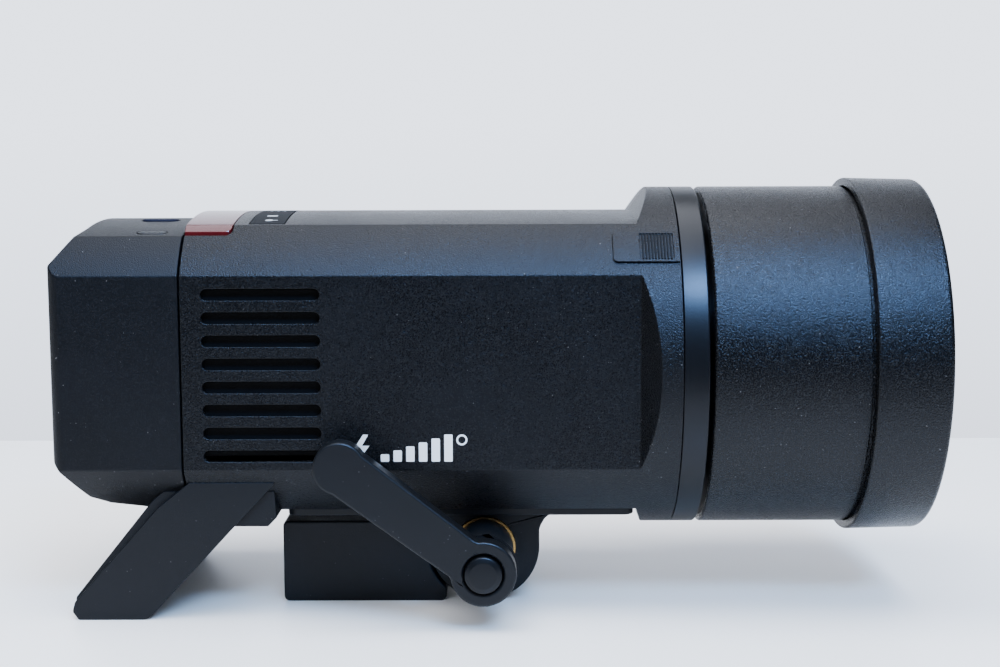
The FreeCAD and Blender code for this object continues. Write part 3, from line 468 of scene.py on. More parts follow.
def top_cutter(inset=0.0, drop=0.0):
    """Everything above the crowned top, with the slope up to the nose."""
    count = 36
    half = 62.0
    stations = [(-200.0, 0.0), (48.8, 0.0), (48.8 + 12.0, 12.0 * 1.45)]
    ys = [half * (2 * i / count - 1) for i in range(count + 1)]
    verts = []
    for x, lift in stations:
        verts += [(x, y, AXIS_Z + crown(y, drop) - inset + lift) for y in ys]
    for x, lift in stations:
        verts += [(x, y, AXIS_Z + 110) for y in ys]
    row = count + 1
    top = 3 * row
    faces = []
    for s in range(2):
        for i in range(count):
            a = s * row + i
            faces.append((a, a + 1, a + row + 1, a + row))
            faces.append((a + top, a + row + top, a + row + 1 + top, a + 1 + top))
        for i in (0, count):
            a = s * row + i
            faces.append((a, a + row, a + row + top, a + top))
    for i in range(count):
        faces.append((i, i + top, i + 1 + top, i + 1))
        a = 2 * row + i
        faces.append((a, a + 1, a + 1 + top, a + top))
    return from_lists("top", verts, faces)


def half_space(side):
    y0, y1 = both_ends(side, 0.05, 95.0)
    return block("half", -190, 190, y0, y1, -10, 190)


# ---- Main housing -------------------------------------------------------------------------------
SLOT_X0 = -101.8
SLOT_X1 = -61.0
SLOT_TOP_Z = 27.4
SLOT_PITCH = 8.03
SLOT_H = 4.0
SLOT_COUNT = 8


def vent_slots(side):
    y0, y1 = both_ends(side, SIDE_Y - 6, SIDE_Y + 3)
    middle = (SLOT_X0 + SLOT_X1) / 2
    slots = []
    for index in range(SLOT_COUNT):
        z = AXIS_Z + SLOT_TOP_Z - index * SLOT_PITCH
        slots.append(prism("slot", stadium(middle, z, SLOT_X1 - SLOT_X0, SLOT_H), "Y", y0, y1))
    return joined("slots", slots)


def top_patch(name, outline, low, high, drop=0.0):
    """A plate that follows the body's top: outline in (x, y), low and high from the surface."""
    span = [v for _, v in outline]
    cuts = [min(span) + 1.6 * i for i in range(1, int((max(span) - min(span)) / 1.6) + 1)]
    cuts += [side * (CROWN_HALF + d) for side in (-1, 1) for d in (-0.5, -0.25, 0.0, 0.25, 0.5)]

    def moved(y, height):
        slope = (skin(y + 0.05, drop) - skin(y - 0.05, drop)) / 0.1
        size = math.hypot(1.0, slope)
        lean = max(height, 0.0) * slope / size
        rise = height / size if height > 0 else height * size
        return y - lean, AXIS_Z + skin(y, drop) + rise

    return bent(prism(name, outline, "Z", low, high), cuts, moved)


WINDOW = softened([(-109.0, -39.7, 0), (-92.6, -39.7, 2.2), (-92.6, 22.0, 2.2), (-109.0, 22.0, 0)])
WINDOW_SEAT = softened([(-112.0, -39.95, 0), (-92.35, -39.95, 2.4), (-92.35, 22.25, 2.4), (-112.0, 22.25, 0)])
COVER_SEAT = softened([(-87.3, -35.4, 1.0), (-74.5, -35.4, 1.0), (-74.5, 13.0, 0.6), (-87.3, 13.0, 0.6)])
COVER_LEAF = softened([(-87.0, -35.0, 0.9), (-74.8, -35.0, 0.9), (-74.8, 10.6, 0.3), (-87.0, 10.6, 0.3)])


def housing_solid():
    solid = bar("housing", SEAM_X + GAP, RING_X)
    cut(solid, side_cutter(-1), side_cutter(1), bottom_cutter(), top_cutter())
    inside = bar("inside", SEAM_X + GAP + WALL, RING_X - 1.8, WALL, 128)
    keep(inside, block("inside_keep", -140, 90, -(SIDE_Y - WALL), SIDE_Y - WALL,
                       AXIS_Z - BOTTOM + WALL, AXIS_Z + TOP_EDGE_Z - 1.6))
    cut(solid, inside)
    cut(solid, prism("mouth", circle(0, AXIS_Z, 47.6, 128), "X", RING_X - 6, RING_X + 2))
    cut(solid, top_patch("seat", WINDOW_SEAT, -3.4, 3.0))
    cut(solid, top_patch("seat", COVER_SEAT, -1.9, 3.0))
    cut(solid, block("socket", SEAM_X - 1, SEAM_X + 6, -42, -12, AXIS_Z - 16, AXIS_Z + 16))
    cut(solid, block("loom", SEAM_X - 1, SEAM_X + 6, 12, 42, AXIS_Z - 12, AXIS_Z + 12))
    cut(solid, block("port", PORTS_X - 4.1, PORTS_X + 4.1, -24, -14, AXIS_Z + 40, AXIS_Z + 60),
        prism("jack", circle(PORTS_X, -3, 3.4, 40), "Z", AXIS_Z + 40, AXIS_Z + 60))
    slot_low = AXIS_Z + BODY_R - WALL - 8
    stem_slot = block("stem", 41.9, 55.9, -2.8, 2.8, slot_low, AXIS_Z + 80)
    pin = block("pin", RING_X - 4, RING_X + 1, -2.1, 2.1, AXIS_Z + 50.5, AXIS_Z + 54.7)
    for tool in (stem_slot, pin):
        cut(solid, turned(tool, "X", SLIDER_DEG, (0, 0, AXIS_Z)))
    return solid


shell = housing_solid()
for side, name in ((-1, "housing_right"), (1, "housing_left")):
    piece = copied(name, shell)
    keep(piece, half_space(side))
    cut(piece, vent_slots(side))
    dress(piece, name + "_shell", "head", TEXTURED, [name], edge=0.35, angle=20.0)
bpy.data.objects.remove(shell)

for side, name in ((-1, "right"), (1, "left")):
    y0, y1 = both_ends(side, SIDE_Y - WALL - 0.5, SIDE_Y - WALL - 0.1)
    mesh_screen = prism("screen", rounded(-104, 59, -58.5, 117, 2), "Y", y0, y1)
    dress(mesh_screen, "dust_screen_" + name, "head", PIT)

# ---- Ring ---------------------------------------------------------------------------------------
ring = revolved("mount_ring", softened([
    (RING_X + 0.2, 48.0, 0.2), (RING_X + 0.2, BODY_R, 0.3), (RING_FRONT_X, BODY_R, 0.7),
    (RING_FRONT_X, 52.0, 0.4), (RING_X + 2.5, 52.0, 0.2), (RING_X + 2.5, 48.0, 0.2)]), "X", 0, AXIS_Z, 256)
dress(ring, "ring", "head", SMOOTH, ["mount_ring"])

# ---- Protective cap -----------------------------------------------------------------------------
sleeve = revolved("cap_sleeve", softened([
    (SLEEVE_X, BODY_R - WALL, 0.3), (SLEEVE_X, BODY_R, 0.9), (RIM_X - 1.2, BODY_R, 0.4),
    (RIM_X - 1.0, BODY_R - 0.9, 0.2), (RIM_X + 3.0, BODY_R - 0.9, 0.2), (RIM_X + 3.0, BODY_R - WALL, 0.2)]),
    "X", 0, AXIS_Z, 256)
dress(sleeve, "sleeve", "cap", CAP_TEXTURE, ["cap_sleeve"])
rim = revolved("cap_rim", softened([
    (RIM_X, BODY_R + 0.1, 0.2), (RIM_X, 65.6, 0.7), (RIM_X + 10.0, 65.35, 12.0), (FRONT_X - 1.0, 65.0, 2.0),
    (FRONT_X, 64.2, 1.0), (FRONT_X, BODY_R - 0.8, 0.5), (RIM_X + 4.0, BODY_R - 0.8, 0.2),
    (RIM_X + 4.0, BODY_R + 0.1, 0.1)]), "X", 0, AXIS_Z, 256)
dress(rim, "rim", "cap", CAP_TEXTURE, ["cap_rim"])
face = revolved("cap_face", softened([
    (FRONT_X - 5.0, 0.0, 0), (FRONT_X - 5.0, 61.6, 0.3), (FRONT_X - 2.6, 61.6, 0.5),
    (FRONT_X - 2.6, 54.0, 0.4), (FRONT_X - 3.3, 53.0, 0.4), (FRONT_X - 3.3, 50.0, 0.4),
    (FRONT_X - 2.6, 49.0, 0.4), (FRONT_X - 2.6, 0.0, 0)]), "X", 0, AXIS_Z, 192)
dress(face, "cap_front", "cap", CAP_TEXTURE, ["cap_face"])

# ---- Rear block ---------------------------------------------------------------------------------
REAR_TOP = AXIS_Z + CROWN_TOP - REAR_DROP
REAR_LOW = AXIS_Z - BOTTOM + REAR_LIFT


def rear_solid(inset=0.0):
    back = REAR_X - 0.6 + inset
    solid = bar("rear", back, SEAM_X, inset)
    side = SIDE_Y - inset
    plan = softened([(SEAM_X + 4, -side, 0), (SEAM_X + 4, side, 0), (back, side, 4.5), (back, -side, 4.5)],
                    step=5.0)
    low = REAR_LOW + inset
    profile = softened([
        (back, AXIS_Z + 36.8 - inset * 0.5, 0.8), (back + 9.0, REAR_TOP - 2.4 - inset, 1.6),
        (back + 9.6, AXIS_Z + 80, 0), (SEAM_X + 4, AXIS_Z + 80, 0), (SEAM_X + 4, low, 0),
        (back + 30.0, low, 6.0), (back + 17.5, low + 1.95, 3.0), (back + 10.7, low + 4.85, 2.0),
        (back, AXIS_Z - 31.0 + inset * 0.5, 1.2)])
    keep(solid, prism("plan", plan, "Z", -5, 190), prism("profile", profile, "Y", -90, 90))
    cut(solid, top_cutter(inset, REAR_DROP))
    return solid


def rail_slot():
    web = block("web", -144.3, SEAM_X + 2, -5.3, 0.5, AXIS_Z - 4.3, AXIS_Z + 4.3)
    head = block("head", -144.3, SEAM_X + 2, -5.3, -2.2, AXIS_Z - 8.3, AXIS_Z + 8.3)
    return add(web, head)


whole = rear_solid()
hollow = rear_solid(WALL)
battery = copied("battery", whole)
controls = copied("controls", whole)
battery_room = copied("battery_room", hollow)
bpy.data.objects.remove(whole)

keep(battery, block("half", -200, SEAM_X - GAP, -95, -0.2, -5, 200))
keep(battery_room, block("half", -200, SEAM_X + 1, -95, -9.0, -5, 200))
cut(battery, battery_room)
cut(battery, rail_slot())
RELEASE = (-123.4, -10.0)
release_seat = stadium(RELEASE[0], RELEASE[1], 14.1, 7.6)
cut(battery, prism("seat", release_seat, "Z", REAR_TOP - 8.2, REAR_TOP + 2))
LEVEL_SPOT = (-121.2, -36.0)
cut(battery, top_patch("seat", stadium(LEVEL_SPOT[0], LEVEL_SPOT[1], 10.6, 4.6), -1.3, 2.0, REAR_DROP))
dress(battery, "battery_shell", "battery", REAR_TEXTURE, ["battery_case"],
      edge=0.45, angle=20.0)

PANEL_X = REAR_X + 5.0
PANEL_Y = 24.0
DIAL_Z = AXIS_Z - 21.0
KEY_Z = AXIS_Z - 4.5
KEY_YS = [PANEL_Y + 9.6 * (i - 1.5) for i in range(4)]
ROUND_KEY_STEP = 14.6
keep(hollow, block("half", PANEL_X + WALL, SEAM_X + 5, WALL, 95, -5, 200))
keep(controls, block("half", -200, SEAM_X, 0.1, 95, -5, 200))
cut(controls, hollow)
cut(controls, prism("panel", rounded(4.0, 53.0, 44.0, 121.0, 3.0), "X", REAR_X - 1, PANEL_X))
cut(controls, prism("lens_seat", rounded(6.0, 90.0, 42.0, 118.0, 1.2), "X", PANEL_X - 1, PANEL_X + 1.2))
cut(controls, prism("sight", [(9, 93), (39, 93), (39, 115), (9, 115)], "X", PANEL_X - 1, PANEL_X + 5))
cut(controls, prism("dial_seat", circle(PANEL_Y, DIAL_Z, 10.1), "X", PANEL_X - 1, PANEL_X + 0.8))
cut(controls, prism("dial_hole", circle(PANEL_Y, DIAL_Z, 4.05), "X", PANEL_X - 1, PANEL_X + 6))
keys = [prism("key", stadium(y, KEY_Z, 7.4, 4.0), "X", PANEL_X - 1, PANEL_X + 6) for y in KEY_YS]
for y in (PANEL_Y - ROUND_KEY_STEP, PANEL_Y + ROUND_KEY_STEP):
    keys.append(prism("key", circle(y, DIAL_Z, 3.4, 40), "X", PANEL_X - 1, PANEL_X + 6))
cut(controls, joined("keys", keys))
cut(controls, block("rail_seat", -145, -111, -1, WALL, AXIS_Z - 10, AXIS_Z + 10))
dress(controls, "control_shell", "head", REAR_TEXTURE, ["control_housing"],
      edge=0.45, angle=20.0)

# ---- Small parts on top -------------------------------------------------------------------------
window = top_patch("window", WINDOW, -2.2, 0.0)
dress(window, "window", "head", RED, ["receiver_window"], edge=0.25, angle=40.0)
level = top_patch("level", stadium(LEVEL_SPOT[0], LEVEL_SPOT[1], 10.3, 4.3), -1.2, 0.05, REAR_DROP)
dress(level, "level", "battery", LEVEL, ["level_window"], edge=0.3, angle=40.0)
marks = []
for x, length, height in ((-124.4, 1.6, 2.4), (-118.0, 1.6, 2.4), (-121.2, 2.9, 1.6)):
    outline = stadium(x, LEVEL_SPOT[1], length, height)
    marks.append(top_patch("mark", outline, 0.05, 0.14, REAR_DROP))
dress(joined("marks", marks), "level_marks", "battery", GREY_PRINT)

release = prism("release", stadium(RELEASE[0], RELEASE[1], 13.3, 6.9), "Z", REAR_TOP - 6.0, REAR_TOP + 0.2)
dress(release, "release_button", "battery_release", DARK_BLUE, ["battery_release"], edge=0.6)

leaf = top_patch("leaf", COVER_LEAF, -1.6, 0.0)
knuckle = revolved("knuckle", softened([
    (-87.0, 0.0, 0), (-87.0, 1.0, 0.2), (-74.8, 1.0, 0.2), (-74.8, 0.0, 0)]),
    "X", 11.2, AXIS_Z + CROWN_TOP - 1.4, 32)
dress(leaf, "cover", "port_cover", COVER, ["port_cover"], edge=0.22, angle=30.0)
dress(knuckle, "cover_hinge", "port_cover", COVER)

icons = []
for y, glyph in ((-29.5, "plug"), (-20.5, "card"), (-5.0, "wave")):
    if glyph == "plug":
        shapes = [circle(PORTS_X, y, 1.4, 28), stadium(PORTS_X + 2.2, y, 1.8, 0.6)]
    elif glyph == "card":
        shapes = [rounded(PORTS_X - 1.9, y - 1.2, PORTS_X + 1.9, y + 1.2, 0.4)]
    else:
        shapes = [stadium(PORTS_X + d, y, 0.91, 0.9) for d in (-2.4, 0.0, 2.4)]
    icons += [top_patch("icon", shape, 0.0, 0.06) for shape in shapes]
dress(joined("icons", icons), "cover_icons", "port_cover", ICON)

# ---- Release slider -----------------------------------------------------------------------------
def round_patch(name, outline, low, high):
    """A plate round the body's axis: outline in (x, distance round the surface), seen from above."""

    def moved(y, height):
        angle = y / BODY_R
        radius = BODY_R + height
        return radius * math.sin(angle), AXIS_Z + radius * math.cos(angle)

    return bent(prism(name, outline, "Z", low, high), range(-9, 10), moved)


slider_outline = softened([(39.9, -6.6, 1.6), (62.9, -6.6, 0.3), (62.9, 6.6, 0.3), (39.9, 6.6, 1.6)])
slider = round_patch("slider", slider_outline, GAP, 0.95)
grip_seat = round_patch("grip_seat", rounded(49.2, -5.7, 60.8, 5.7, 0.4), 0.45, 3.0)
cut(slider, grip_seat)
stem = block("stem", 46.3, 55.3, -2.5, 2.5, AXIS_Z + 51.0, AXIS_Z + BODY_R + 0.44)
add(slider, stem)
turned(slider, "X", SLIDER_DEG, (0, 0, AXIS_Z))
dress(slider, "slider", "slider", TEXTURED, ["release_slider"],
      edge=0.16, angle=30.0, segments=2)
ribs = []
for index in range(10):
    x = 50.0 + 1.07 * index
    rib = round_patch("rib", [(x, -5.5), (x + 0.56, -5.5), (x + 0.56, 5.5), (x, 5.5)], 0.4, 1.1)
    ribs.append(rib)
grip = turned(joined("grip", ribs), "X", SLIDER_DEG, (0, 0, AXIS_Z))
dress(grip, "slider_grip", "slider", COVER, edge=0.12, angle=40.0, segments=2)

# ---- Marking on the side flats: a lightning bolt and rising bars --------------------------------
BOLT = [(3.4, 9.5), (0.0, 4.2), (2.5, 4.2), (1.4, 0.0), (5.6, 5.6), (3.0, 5.6), (5.2, 9.5)]


def marking(side):
    x0 = -50.0
    z0 = AXIS_Z - 30.8
    y0, y1 = both_ends(side, SIDE_Y - 0.02, SIDE_Y + 0.05)
    glyphs = [[(x0 + u, z0 + v) for u, v in BOLT]]
    for index in range(6):
        u = x0 + 9.5 + 4.4 * index
        height = 2.6 + 1.38 * index
        glyphs.append(rounded(u, z0, u + 2.9, z0 + height, 0.4))
    dot_x = x0 + 37.6
    if side > 0:
        middle = x0 + 20
        glyphs = [[(2 * middle - x, z) for x, z in glyph] for glyph in glyphs]
        dot_x = 2 * middle - dot_x
    shapes = [prism("glyph", glyph, "Y", y0, y1) for glyph in glyphs]
    dot_outer = prism("dot", circle(dot_x, z0 + 7.6, 1.9, 40), "Y", y0, y1)
    dot_inner = prism("dot", circle(dot_x, z0 + 7.6, 1.3, 40), "Y", y0 - 1, y1 + 1)
    shapes.append(cut(dot_outer, dot_inner))
    return joined("marking", shapes)


for side, name in ((-1, "right"), (1, "left")):
    dress(marking(side), "marking_" + name, "head", PRINT)

# ---- Handle -------------------------------------------------------------------------------------
HANDLE_Y = 49.2
HANDLE_CORE_Y = 46.0
HANDLE_ARM = 12.0
HANDLE_BACK = [(-106.5, 50.5, 0), (-108.2, 49.0, 0.5), (-119.2, 40.2, 3.0), (-149.3, 6.4, 1.5)]
CORE_BACK = [(-109.0, 53.0, 0), (-110.6, 51.4, 0.5), (-121.6, 42.2, 3.0), (-149.4, 7.6, 2.0)]
HANDLE_TOE = [(-150.2, 3.0, 1.5), (-148.0, 0.0, 1.2), (-123.5, 0.0, 5.0)]
SIDE_FRONT = [(-93.05, 32.75, 0), (-76.0, 51.0, 0), (-78.0, 53.0, 0)]
CORE_FRONT = [(-93.0, 32.8, 0.6), (-81.0, 32.8, 0.6), (-77.9, 36.0, 0.6), (-79.0, 53.0, 0)]
side_plates = []
for start, end in ((-HANDLE_Y, -HANDLE_CORE_Y), (HANDLE_CORE_Y, HANDLE_Y)):
    side_plates.append(prism("plate", softened(HANDLE_BACK + HANDLE_TOE + SIDE_FRONT), "Y", start, end))
handle = joined("side_plates", side_plates)
core = prism("core", softened(CORE_BACK + HANDLE_TOE + CORE_FRONT), "Y",
             -HANDLE_CORE_Y - 0.1, HANDLE_CORE_Y + 0.1)
for piece in (handle, core):
    saddle = bar("saddle", -200, 60, -0.1, 160)
    keep(saddle, block("saddle_keep", -190, 60, -(SIDE_Y + 0.1), SIDE_Y + 0.1, AXIS_Z - BOTTOM - 0.1, 200))
    cut(piece, saddle)
inner = HANDLE_Y - HANDLE_ARM
opening = softened([(-inner, 14.0, 5.0), (inner, 14.0, 5.0), (inner, 80.0, 0), (-inner, 80.0, 0)])
cut(core, prism("grip", opening, "X", -160, -97.0))
cut(core, joined("bolts", [prism("bolt", circle(x, y, 2.6, 32), "Z", 30, 60)
                           for x in (-92.0, -84.0) for y in (-20.0, 20.0)]))
dress(core, "carry_handle", "head", HANDLE, ["handle"], edge=0.4, angle=24.0)
dress(handle, "handle_sides", "head", HANDLE, edge=0.35, angle=24.0)

# ---- Base plate, fork ---------------------------------------------------------------------------
BASE_Z0 = AXIS_Z - 54.65
BASE_Z1 = AXIS_Z - BOTTOM
TILT_X = -5.0
TILT_Z = 20.5
EAR_R = 20.0
EAR_Y0 = 16.0
EAR_Y1 = 26.0
base = prism("base", rounded(-76, -32, 48.9, 32, 4), "Z", BASE_Z0, BASE_Z1)
cut(base, joined("holes", [prism("hole", circle(x, y, 2.2, 32), "Z", BASE_Z0 - 1, BASE_Z1 + 1)
                           for x in (-66.0, -40.0, 24.0, 40.0) for y in (-24.0, 24.0)]))
dress(base, "base", "head", SMOOTH, ["base_plate"], edge=0.5)


def ear(name, y0, y1):
    """One ear of the fork: a round plate that flares into the base."""
    points = arc(TILT_X, TILT_Z, EAR_R, -180, 0, 60)
    right = [(TILT_X + EAR_R, TILT_Z + 6.0), (TILT_X + 20.6, BASE_Z0 - 5.0), (TILT_X + 22.0, BASE_Z0 - 2.6),
             (TILT_X + 24.0, BASE_Z0 - 1.0), (TILT_X + 24.4, BASE_Z0)]
    left = [(2 * TILT_X - x, z) for x, z in reversed(right)]
    return prism(name, points + right + left, "Y", y0, y1)


fork = ear("fork", -EAR_Y1, -EAR_Y0)
pad = block("pad", TILT_X - 26, TILT_X + 26, -EAR_Y1, EAR_Y1, BASE_Z0 - 0.8, BASE_Z0)
add(fork, ear("ear", EAR_Y0, EAR_Y1), pad)
cut(fork, prism("bore", circle(TILT_X, TILT_Z, 5.05), "Y", -60, 60))
dress(fork, "fork", "head", PAINT, ["tilt_fork"], edge=0.7)

# ---- Stand bracket ------------------------------------------------------------------------------
BRACKET_X0 = -78.6
BRACKET_X1 = -19.0
BRACKET_TOP = 30.0
BRACKET_HALF = 26.0
TONGUE_HALF = 15.5
STUD_Z = 15.0             # the height of the stand socket and of its clamp screw
STUD_KNOB_X = -62.0
UMBRELLA_X = -34.5
bracket_outline = softened([(BRACKET_X0, 0, 2.0), (BRACKET_X1, 0, 2.0), (BRACKET_X1, BRACKET_TOP, 1.0),
                            (BRACKET_X0, BRACKET_TOP, 2.0)])
bracket = prism("bracket", bracket_outline, "Y", -BRACKET_HALF, BRACKET_HALF)
room = prism("room", circle(TILT_X, TILT_Z, 21.0, 96), "Y", -60, 60)
add(room, block("flare", TILT_X - 24, TILT_X, -60, 60, TILT_Z, 40))
cut(room, block("middle", -60, 60, -TONGUE_HALF, TONGUE_HALF, -20, 60))
cut(bracket, room)
tongue = prism("tongue", circle(TILT_X, TILT_Z, 11.0, 96), "Y", -TONGUE_HALF, TONGUE_HALF)
add(tongue, block("neck", -22, TILT_X, -TONGUE_HALF, TONGUE_HALF, TILT_Z - 10.9, TILT_Z + 8.0))
add(bracket, tongue)
cut(bracket, prism("bore", circle(TILT_X, TILT_Z, 5.3), "Y", -30, 30),
    prism("socket", circle(0, STUD_Z, 9.5, 72), "X", -79, -40),
    prism("umbrella", circle(UMBRELLA_X, 0, 4.25, 48), "Z", -1, 31),
    prism("knob", circle(STUD_KNOB_X, STUD_Z, 4.05, 48), "Y", 0, 27),
    prism("screw", circle(UMBRELLA_X, TILT_Z, 2.55, 40), "Y", 0, 27))
dress(bracket, "bracket", "bracket", PAINT, ["bracket_block"], edge=0.9, segments=4)


def knob(name, x, z, shank_start, shank_r, head_r, y0, y1, lobes):
    """A lobed hand knob on its shank, both along Y."""
    count = lobes * 24
    outline = []
    for i in range(count):
        angle = math.tau * i / count
        wave = 0.5 + 0.5 * math.cos(lobes * angle)
        radius = head_r - 1.5 * (1 - wave) ** 2 * head_r / 14
        outline.append((x + radius * math.cos(angle), z + radius * math.sin(angle)))
    head = prism(name, outline, "Y", y0, y1)
    dish = prism("dish", circle(x, z, head_r * 0.62, 64), "Y", y1 - 0.8, y1 + 1)
    cut(head, dish)
    shank = prism("shank", circle(x, z, shank_r, 48), "Y", shank_start, y0 + 1)
    neck = prism("neck", circle(x, z, shank_r + 2, 48), "Y", 29.6, y0 + 1)
    return add(head, shank, neck)


stand_knob = knob("stand_knob", STUD_KNOB_X, STUD_Z, 12.3, 4.0, 14.0, 50, 68, 8)
dress(stand_knob, "stand_knob_grip", "stand_knob", RUBBER, ["stand_knob"], edge=0.9, segments=4)
screw = knob("screw", UMBRELLA_X, TILT_Z, 4.85, 2.5, 7.0, 34, 44, 6)
dress(screw, "umbrella_screw_grip", "umbrella_screw", BLACK_STEEL, ["umbrella_screw"],
      edge=0.5)

# ---- Tilt lever ---------------------------------------------------------------------------------
LEVER_LEN = 61.0
LEVER_ANGLE = math.radians(36.9)
HUB_R = 11.4
TIP_R = 9.2
LEVER_Y0 = -66.0
LEVER_Y1 = -55.5


def lever_outline():
    """Outline in the lever's own axes, the hub at 0 and the tip at -LEVER_LEN, then turned to its angle."""
    tip_w = TIP_R * 0.93
    waist_w = 7.9
    flare_x = -HUB_R - 9.5
    hub = arc(0.0, 0.0, HUB_R, -138, 138, 24)
    join_x, join_y = hub[-1]
    upper = []
    for i in range(1, 9):
        t = i / 8
        rise = (1 - (1 - t) ** 2 + t * t * (3 - 2 * t)) / 2
        upper.append((join_x + (flare_x - join_x) * t, join_y + (waist_w - join_y) * rise))
    lower = [(u, -v) for u, v in reversed(upper)]
    side_angle = math.degrees(math.asin(tip_w / TIP_R))
    tip = arc(-LEVER_LEN, 0.0, TIP_R, side_angle, 360 - side_angle, 24)
    c = math.cos(-LEVER_ANGLE)
    s = math.sin(-LEVER_ANGLE)
    return [(TILT_X + u * c - v * s, TILT_Z + u * s + v * c) for u, v in hub + upper + tip + lower]


lever = prism("lever", lever_outline(), "Y", LEVER_Y0, LEVER_Y0 + 8.0)
hub = prism("hub", circle(TILT_X, TILT_Z, HUB_R - 0.25, 96), "Y", LEVER_Y0 + 4, LEVER_Y1)
add(lever, hub)
cut(lever, prism("bore", circle(TILT_X, TILT_Z, 5.0, 48), "Y", -62.5, -50),
    prism("seat", circle(TILT_X, TILT_Z, 7.0, 64), "Y", -70, -62.4))
dress(lever, "tilt_lever", "lever", LEVER, ["clamp_lever"], edge=1.0, segments=4)
lever_cap = revolved("lever_cap", softened([
    (-62.45, 0.0, 0), (-62.45, 6.45, 0.2), (-67.2, 6.45, 0.8), (-67.8, 4.6, 1.5), (-68.0, 0.0, 0)]),
    "Y", TILT_X, TILT_Z, 96)
dress(lever_cap, "lever_cap_disc", "lever", SMOOTH, ["lever_cap"])
collar = revolved("collar", softened([
    (-55.5, 5.0, 0), (-55.5, 10.5, 0.3), (-53.6, 10.5, 0.3), (-53.0, 9.9, 0.2), (-52.4, 10.5, 0.3),
    (-28.3, 10.5, 0.5), (-28.3, 5.0, 0)]), "Y", TILT_X, TILT_Z, 128)
dress(collar, "collar", "lever", BLACK_STEEL, ["lever_collar"])
washer = revolved("washer", softened([
    (-28.1, 5.05, 0.1), (-28.1, 11.3, 0.25), (-26.1, 11.3, 0.25), (-26.1, 5.05, 0.1)]),
    "Y", TILT_X, TILT_Z, 128)
dress(washer, "washer", "lever", BRASS, ["brass_washer"])

# ---- Controls on the back -----------------------------------------------------------------------
lens = prism("lens", rounded(6.1, 90.1, 41.9, 117.9, 1.1), "X", PANEL_X + 0.1, PANEL_X + 1.1)
dress(lens, "display", "head", SCREEN, ["display_lens"], edge=0.25)
for index, y in enumerate(KEY_YS, 1):
    button = prism("key", stadium(y, KEY_Z, 7.0, 3.6), "X", PANEL_X - 1.0, PANEL_X + 4.0)
    dress(button, "key_%d" % index, "function_key_%d" % index, RUBBER, ["function_key_%d" % index],
          edge=0.35)
for name, y in (("test_button", PANEL_Y - ROUND_KEY_STEP), ("power_button", PANEL_Y + ROUND_KEY_STEP)):
    button = prism("key", circle(y, DIAL_Z, 3.2, 48), "X", PANEL_X - 1.2, PANEL_X + 4.0)
    dress(button, name + "_cap", name, RUBBER, [name], edge=0.45)
    ring_mark = revolved("mark", [(PANEL_X - 1.24, 1.5), (PANEL_X - 1.24, 1.9), (PANEL_X - 1.18, 1.9),
                                  (PANEL_X - 1.18, 1.5)], "X", y, DIAL_Z, 40)
    dress(ring_mark, name + "_mark", name, PRINT)
DIAL_R = 9.5
DIAL_FLUTES = 24
DIAL_STEPS = DIAL_FLUTES * 10
outline = []
for i in range(DIAL_STEPS):
    angle = math.tau * i / DIAL_STEPS
    radius = DIAL_R - 0.45 * max(0.0, math.cos(DIAL_FLUTES * angle)) ** 2
    outline.append((PANEL_Y + radius * math.cos(angle), DIAL_Z + radius * math.sin(angle)))
dial = prism("dial", outline, "X", PANEL_X - 4.0, PANEL_X + 0.5)
add(dial, prism("stem", circle(PANEL_Y, DIAL_Z, 4.0), "X", PANEL_X, PANEL_X + 10.5))
cut(dial, prism("bore", circle(PANEL_Y, DIAL_Z, 3.05), "X", PANEL_X - 6, PANEL_X + 8))
dress(dial, "dial", "select_dial", SMOOTH, ["select_dial"], edge=0.3, angle=35.0)
centre = revolved("set", softened([
    (PANEL_X - 4.6, 0.0, 0), (PANEL_X - 4.5, 2.2, 2.0), (PANEL_X - 4.0, 3.0, 0.4),
    (PANEL_X + 6.0, 3.0, 0.2), (PANEL_X + 6.0, 0.0, 0)]), "X", PANEL_Y, DIAL_Z, 64)
dress(centre, "set_cap", "set_button", RUBBER, ["set_button"])

# ---- Stage, light and camera --------------------------------------------------------------------
def plain(name, color, roughness, glow=0.0):
    material = bpy.data.materials.new(name)
    material.use_nodes = True
    shader = material.node_tree.nodes["Principled BSDF"]
    shader.inputs["Base Color"].default_value = (*color, 1)
    shader.inputs["Roughness"].default_value = roughness
    if glow:
        shader.inputs["Emission Color"].default_value = (*color, 1)
        shader.inputs["Emission Strength"].default_value = glow
    return material


table = block("table", -1500, 1500, -300, 300, -30, 0)
table.data.materials.append(plain("table", (0.85, 0.86, 0.89), 0.36))
surround = revolved("surround", [(-900.0, 2600.0), (2600.0, 2600.0), (2600.0, 2620.0), (-900.0, 2620.0)],
                    "Z", 0, 0, 96)
backdrop = plain("surround", (0.70, 0.745, 0.83), 1.0, 2.6)
backdrop_tree = backdrop.node_tree
heights = backdrop_tree.nodes.new("ShaderNodeSeparateXYZ")
link(backdrop_tree, backdrop_tree.nodes.new("ShaderNodeTexCoord"), "Object", heights, "Vector")
# Painted shade: the glowing backdrop is made dimmer towards its foot, so the wall it stands for looks darker
# near the table.
painted_foot_shade = backdrop_tree.nodes.new("ShaderNodeMapRange")
painted_foot_shade.inputs["From Min"].default_value = -0.42
painted_foot_shade.inputs["From Max"].default_value = 0.20
painted_foot_shade.inputs["To Min"].default_value = 1.6
painted_foot_shade.inputs["To Max"].default_value = 2.6
link(backdrop_tree, heights, "Z", painted_foot_shade, "Value")
link(backdrop_tree, painted_foot_shade, "Result", backdrop_tree.nodes["Principled BSDF"], "Emission Strength")
surround.data.materials.append(backdrop)
for flag in ("visible_diffuse", "visible_glossy", "visible_transmission", "visible_volume_scatter",
             "visible_shadow"):
    setattr(surround, flag, False)
wall = block("wall", -1800, 1800, 1600, 1620, -300, 1150)
wall.data.materials.append(plain("wall", (0.78, 0.80, 0.84), 1.0, 0.52))
wall.visible_camera = False


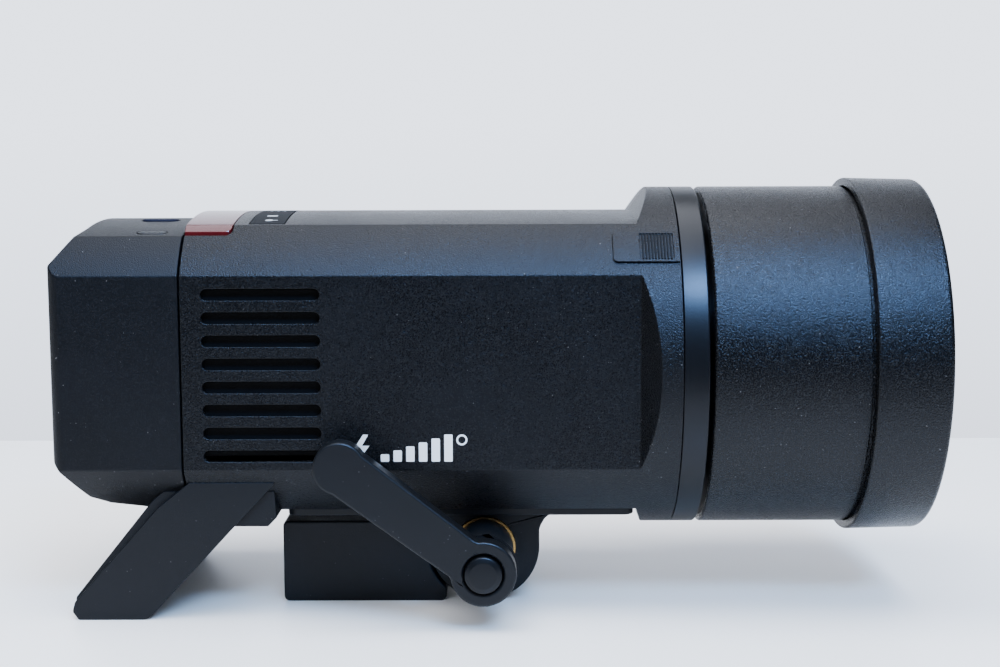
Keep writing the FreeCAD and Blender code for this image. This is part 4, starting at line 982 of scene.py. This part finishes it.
def area_light(name, spot, target, width, height, power, color):
    data = bpy.data.lights.new(name, "AREA")
    data.shape = "RECTANGLE"
    data.size = width
    data.size_y = height
    data.energy = power
    data.color = color
    light = bpy.data.objects.new(name, data)
    light.location = spot
    light.rotation_euler = (Vector(target) - Vector(spot)).to_track_quat("-Z", "Y").to_euler()
    bpy.context.scene.collection.objects.link(light)
    return light


MIDDLE = (0.0, 0.0, 0.09)
window_light = area_light("window", (0.60, -1.30, 1.40), MIDDLE, 0.8, 0.42, 50.0, (0.33, 0.60, 1.0))
window_light.visible_glossy = False
window_gloss = area_light("window_gloss", (0.36, -1.13, 1.52), MIDDLE, 0.66, 0.32, 172.0, (0.23, 0.47, 1.0))
window_gloss.visible_diffuse = False
ceiling = area_light("ceiling", (-0.1, -0.30, 1.75), MIDDLE, 1.8, 1.1, 78.0, (1.0, 0.99, 0.98))
ceiling.visible_glossy = False
front_light = area_light("front", (-0.5, -1.5, 0.55), MIDDLE, 1.6, 0.6, 18.0, (0.95, 0.97, 1.0))
front_light.visible_glossy = False
sheen_light = area_light("ceiling_gloss", (-0.1, 0.02, 1.75), MIDDLE, 2.4, 1.25, 70.0, (0.86, 0.90, 1.0))
sheen_light.visible_diffuse = False

world = bpy.data.worlds.new("room")
world.use_nodes = True
world.node_tree.nodes["Background"].inputs["Color"].default_value = (0.74, 0.79, 0.90, 1)
world.node_tree.nodes["Background"].inputs["Strength"].default_value = 1.1
bpy.context.scene.world = world
world.cycles_visibility.glossy = False

camera_data = bpy.data.cameras.new("camera")
camera_data.lens = 58.15
camera_data.sensor_width = 36.0
camera = bpy.data.objects.new("camera", camera_data)
bpy.context.scene.collection.objects.link(camera)
pitch, yaw, roll = (math.radians(a) for a in (6.682, 0.134, -0.184))
forward = Vector((-math.sin(yaw) * math.cos(pitch), math.cos(yaw) * math.cos(pitch), -math.sin(pitch)))
across = Vector((math.cos(yaw), math.sin(yaw), 0.0))
upward = across.cross(forward)
right = math.cos(roll) * across + math.sin(roll) * upward
top = -math.sin(roll) * across + math.cos(roll) * upward
facing = Matrix((right, top, -forward)).transposed().to_4x4()
camera.matrix_world = Matrix.Translation((0.0022, -0.6031, 0.1663)) @ facing
bpy.context.scene.camera = camera
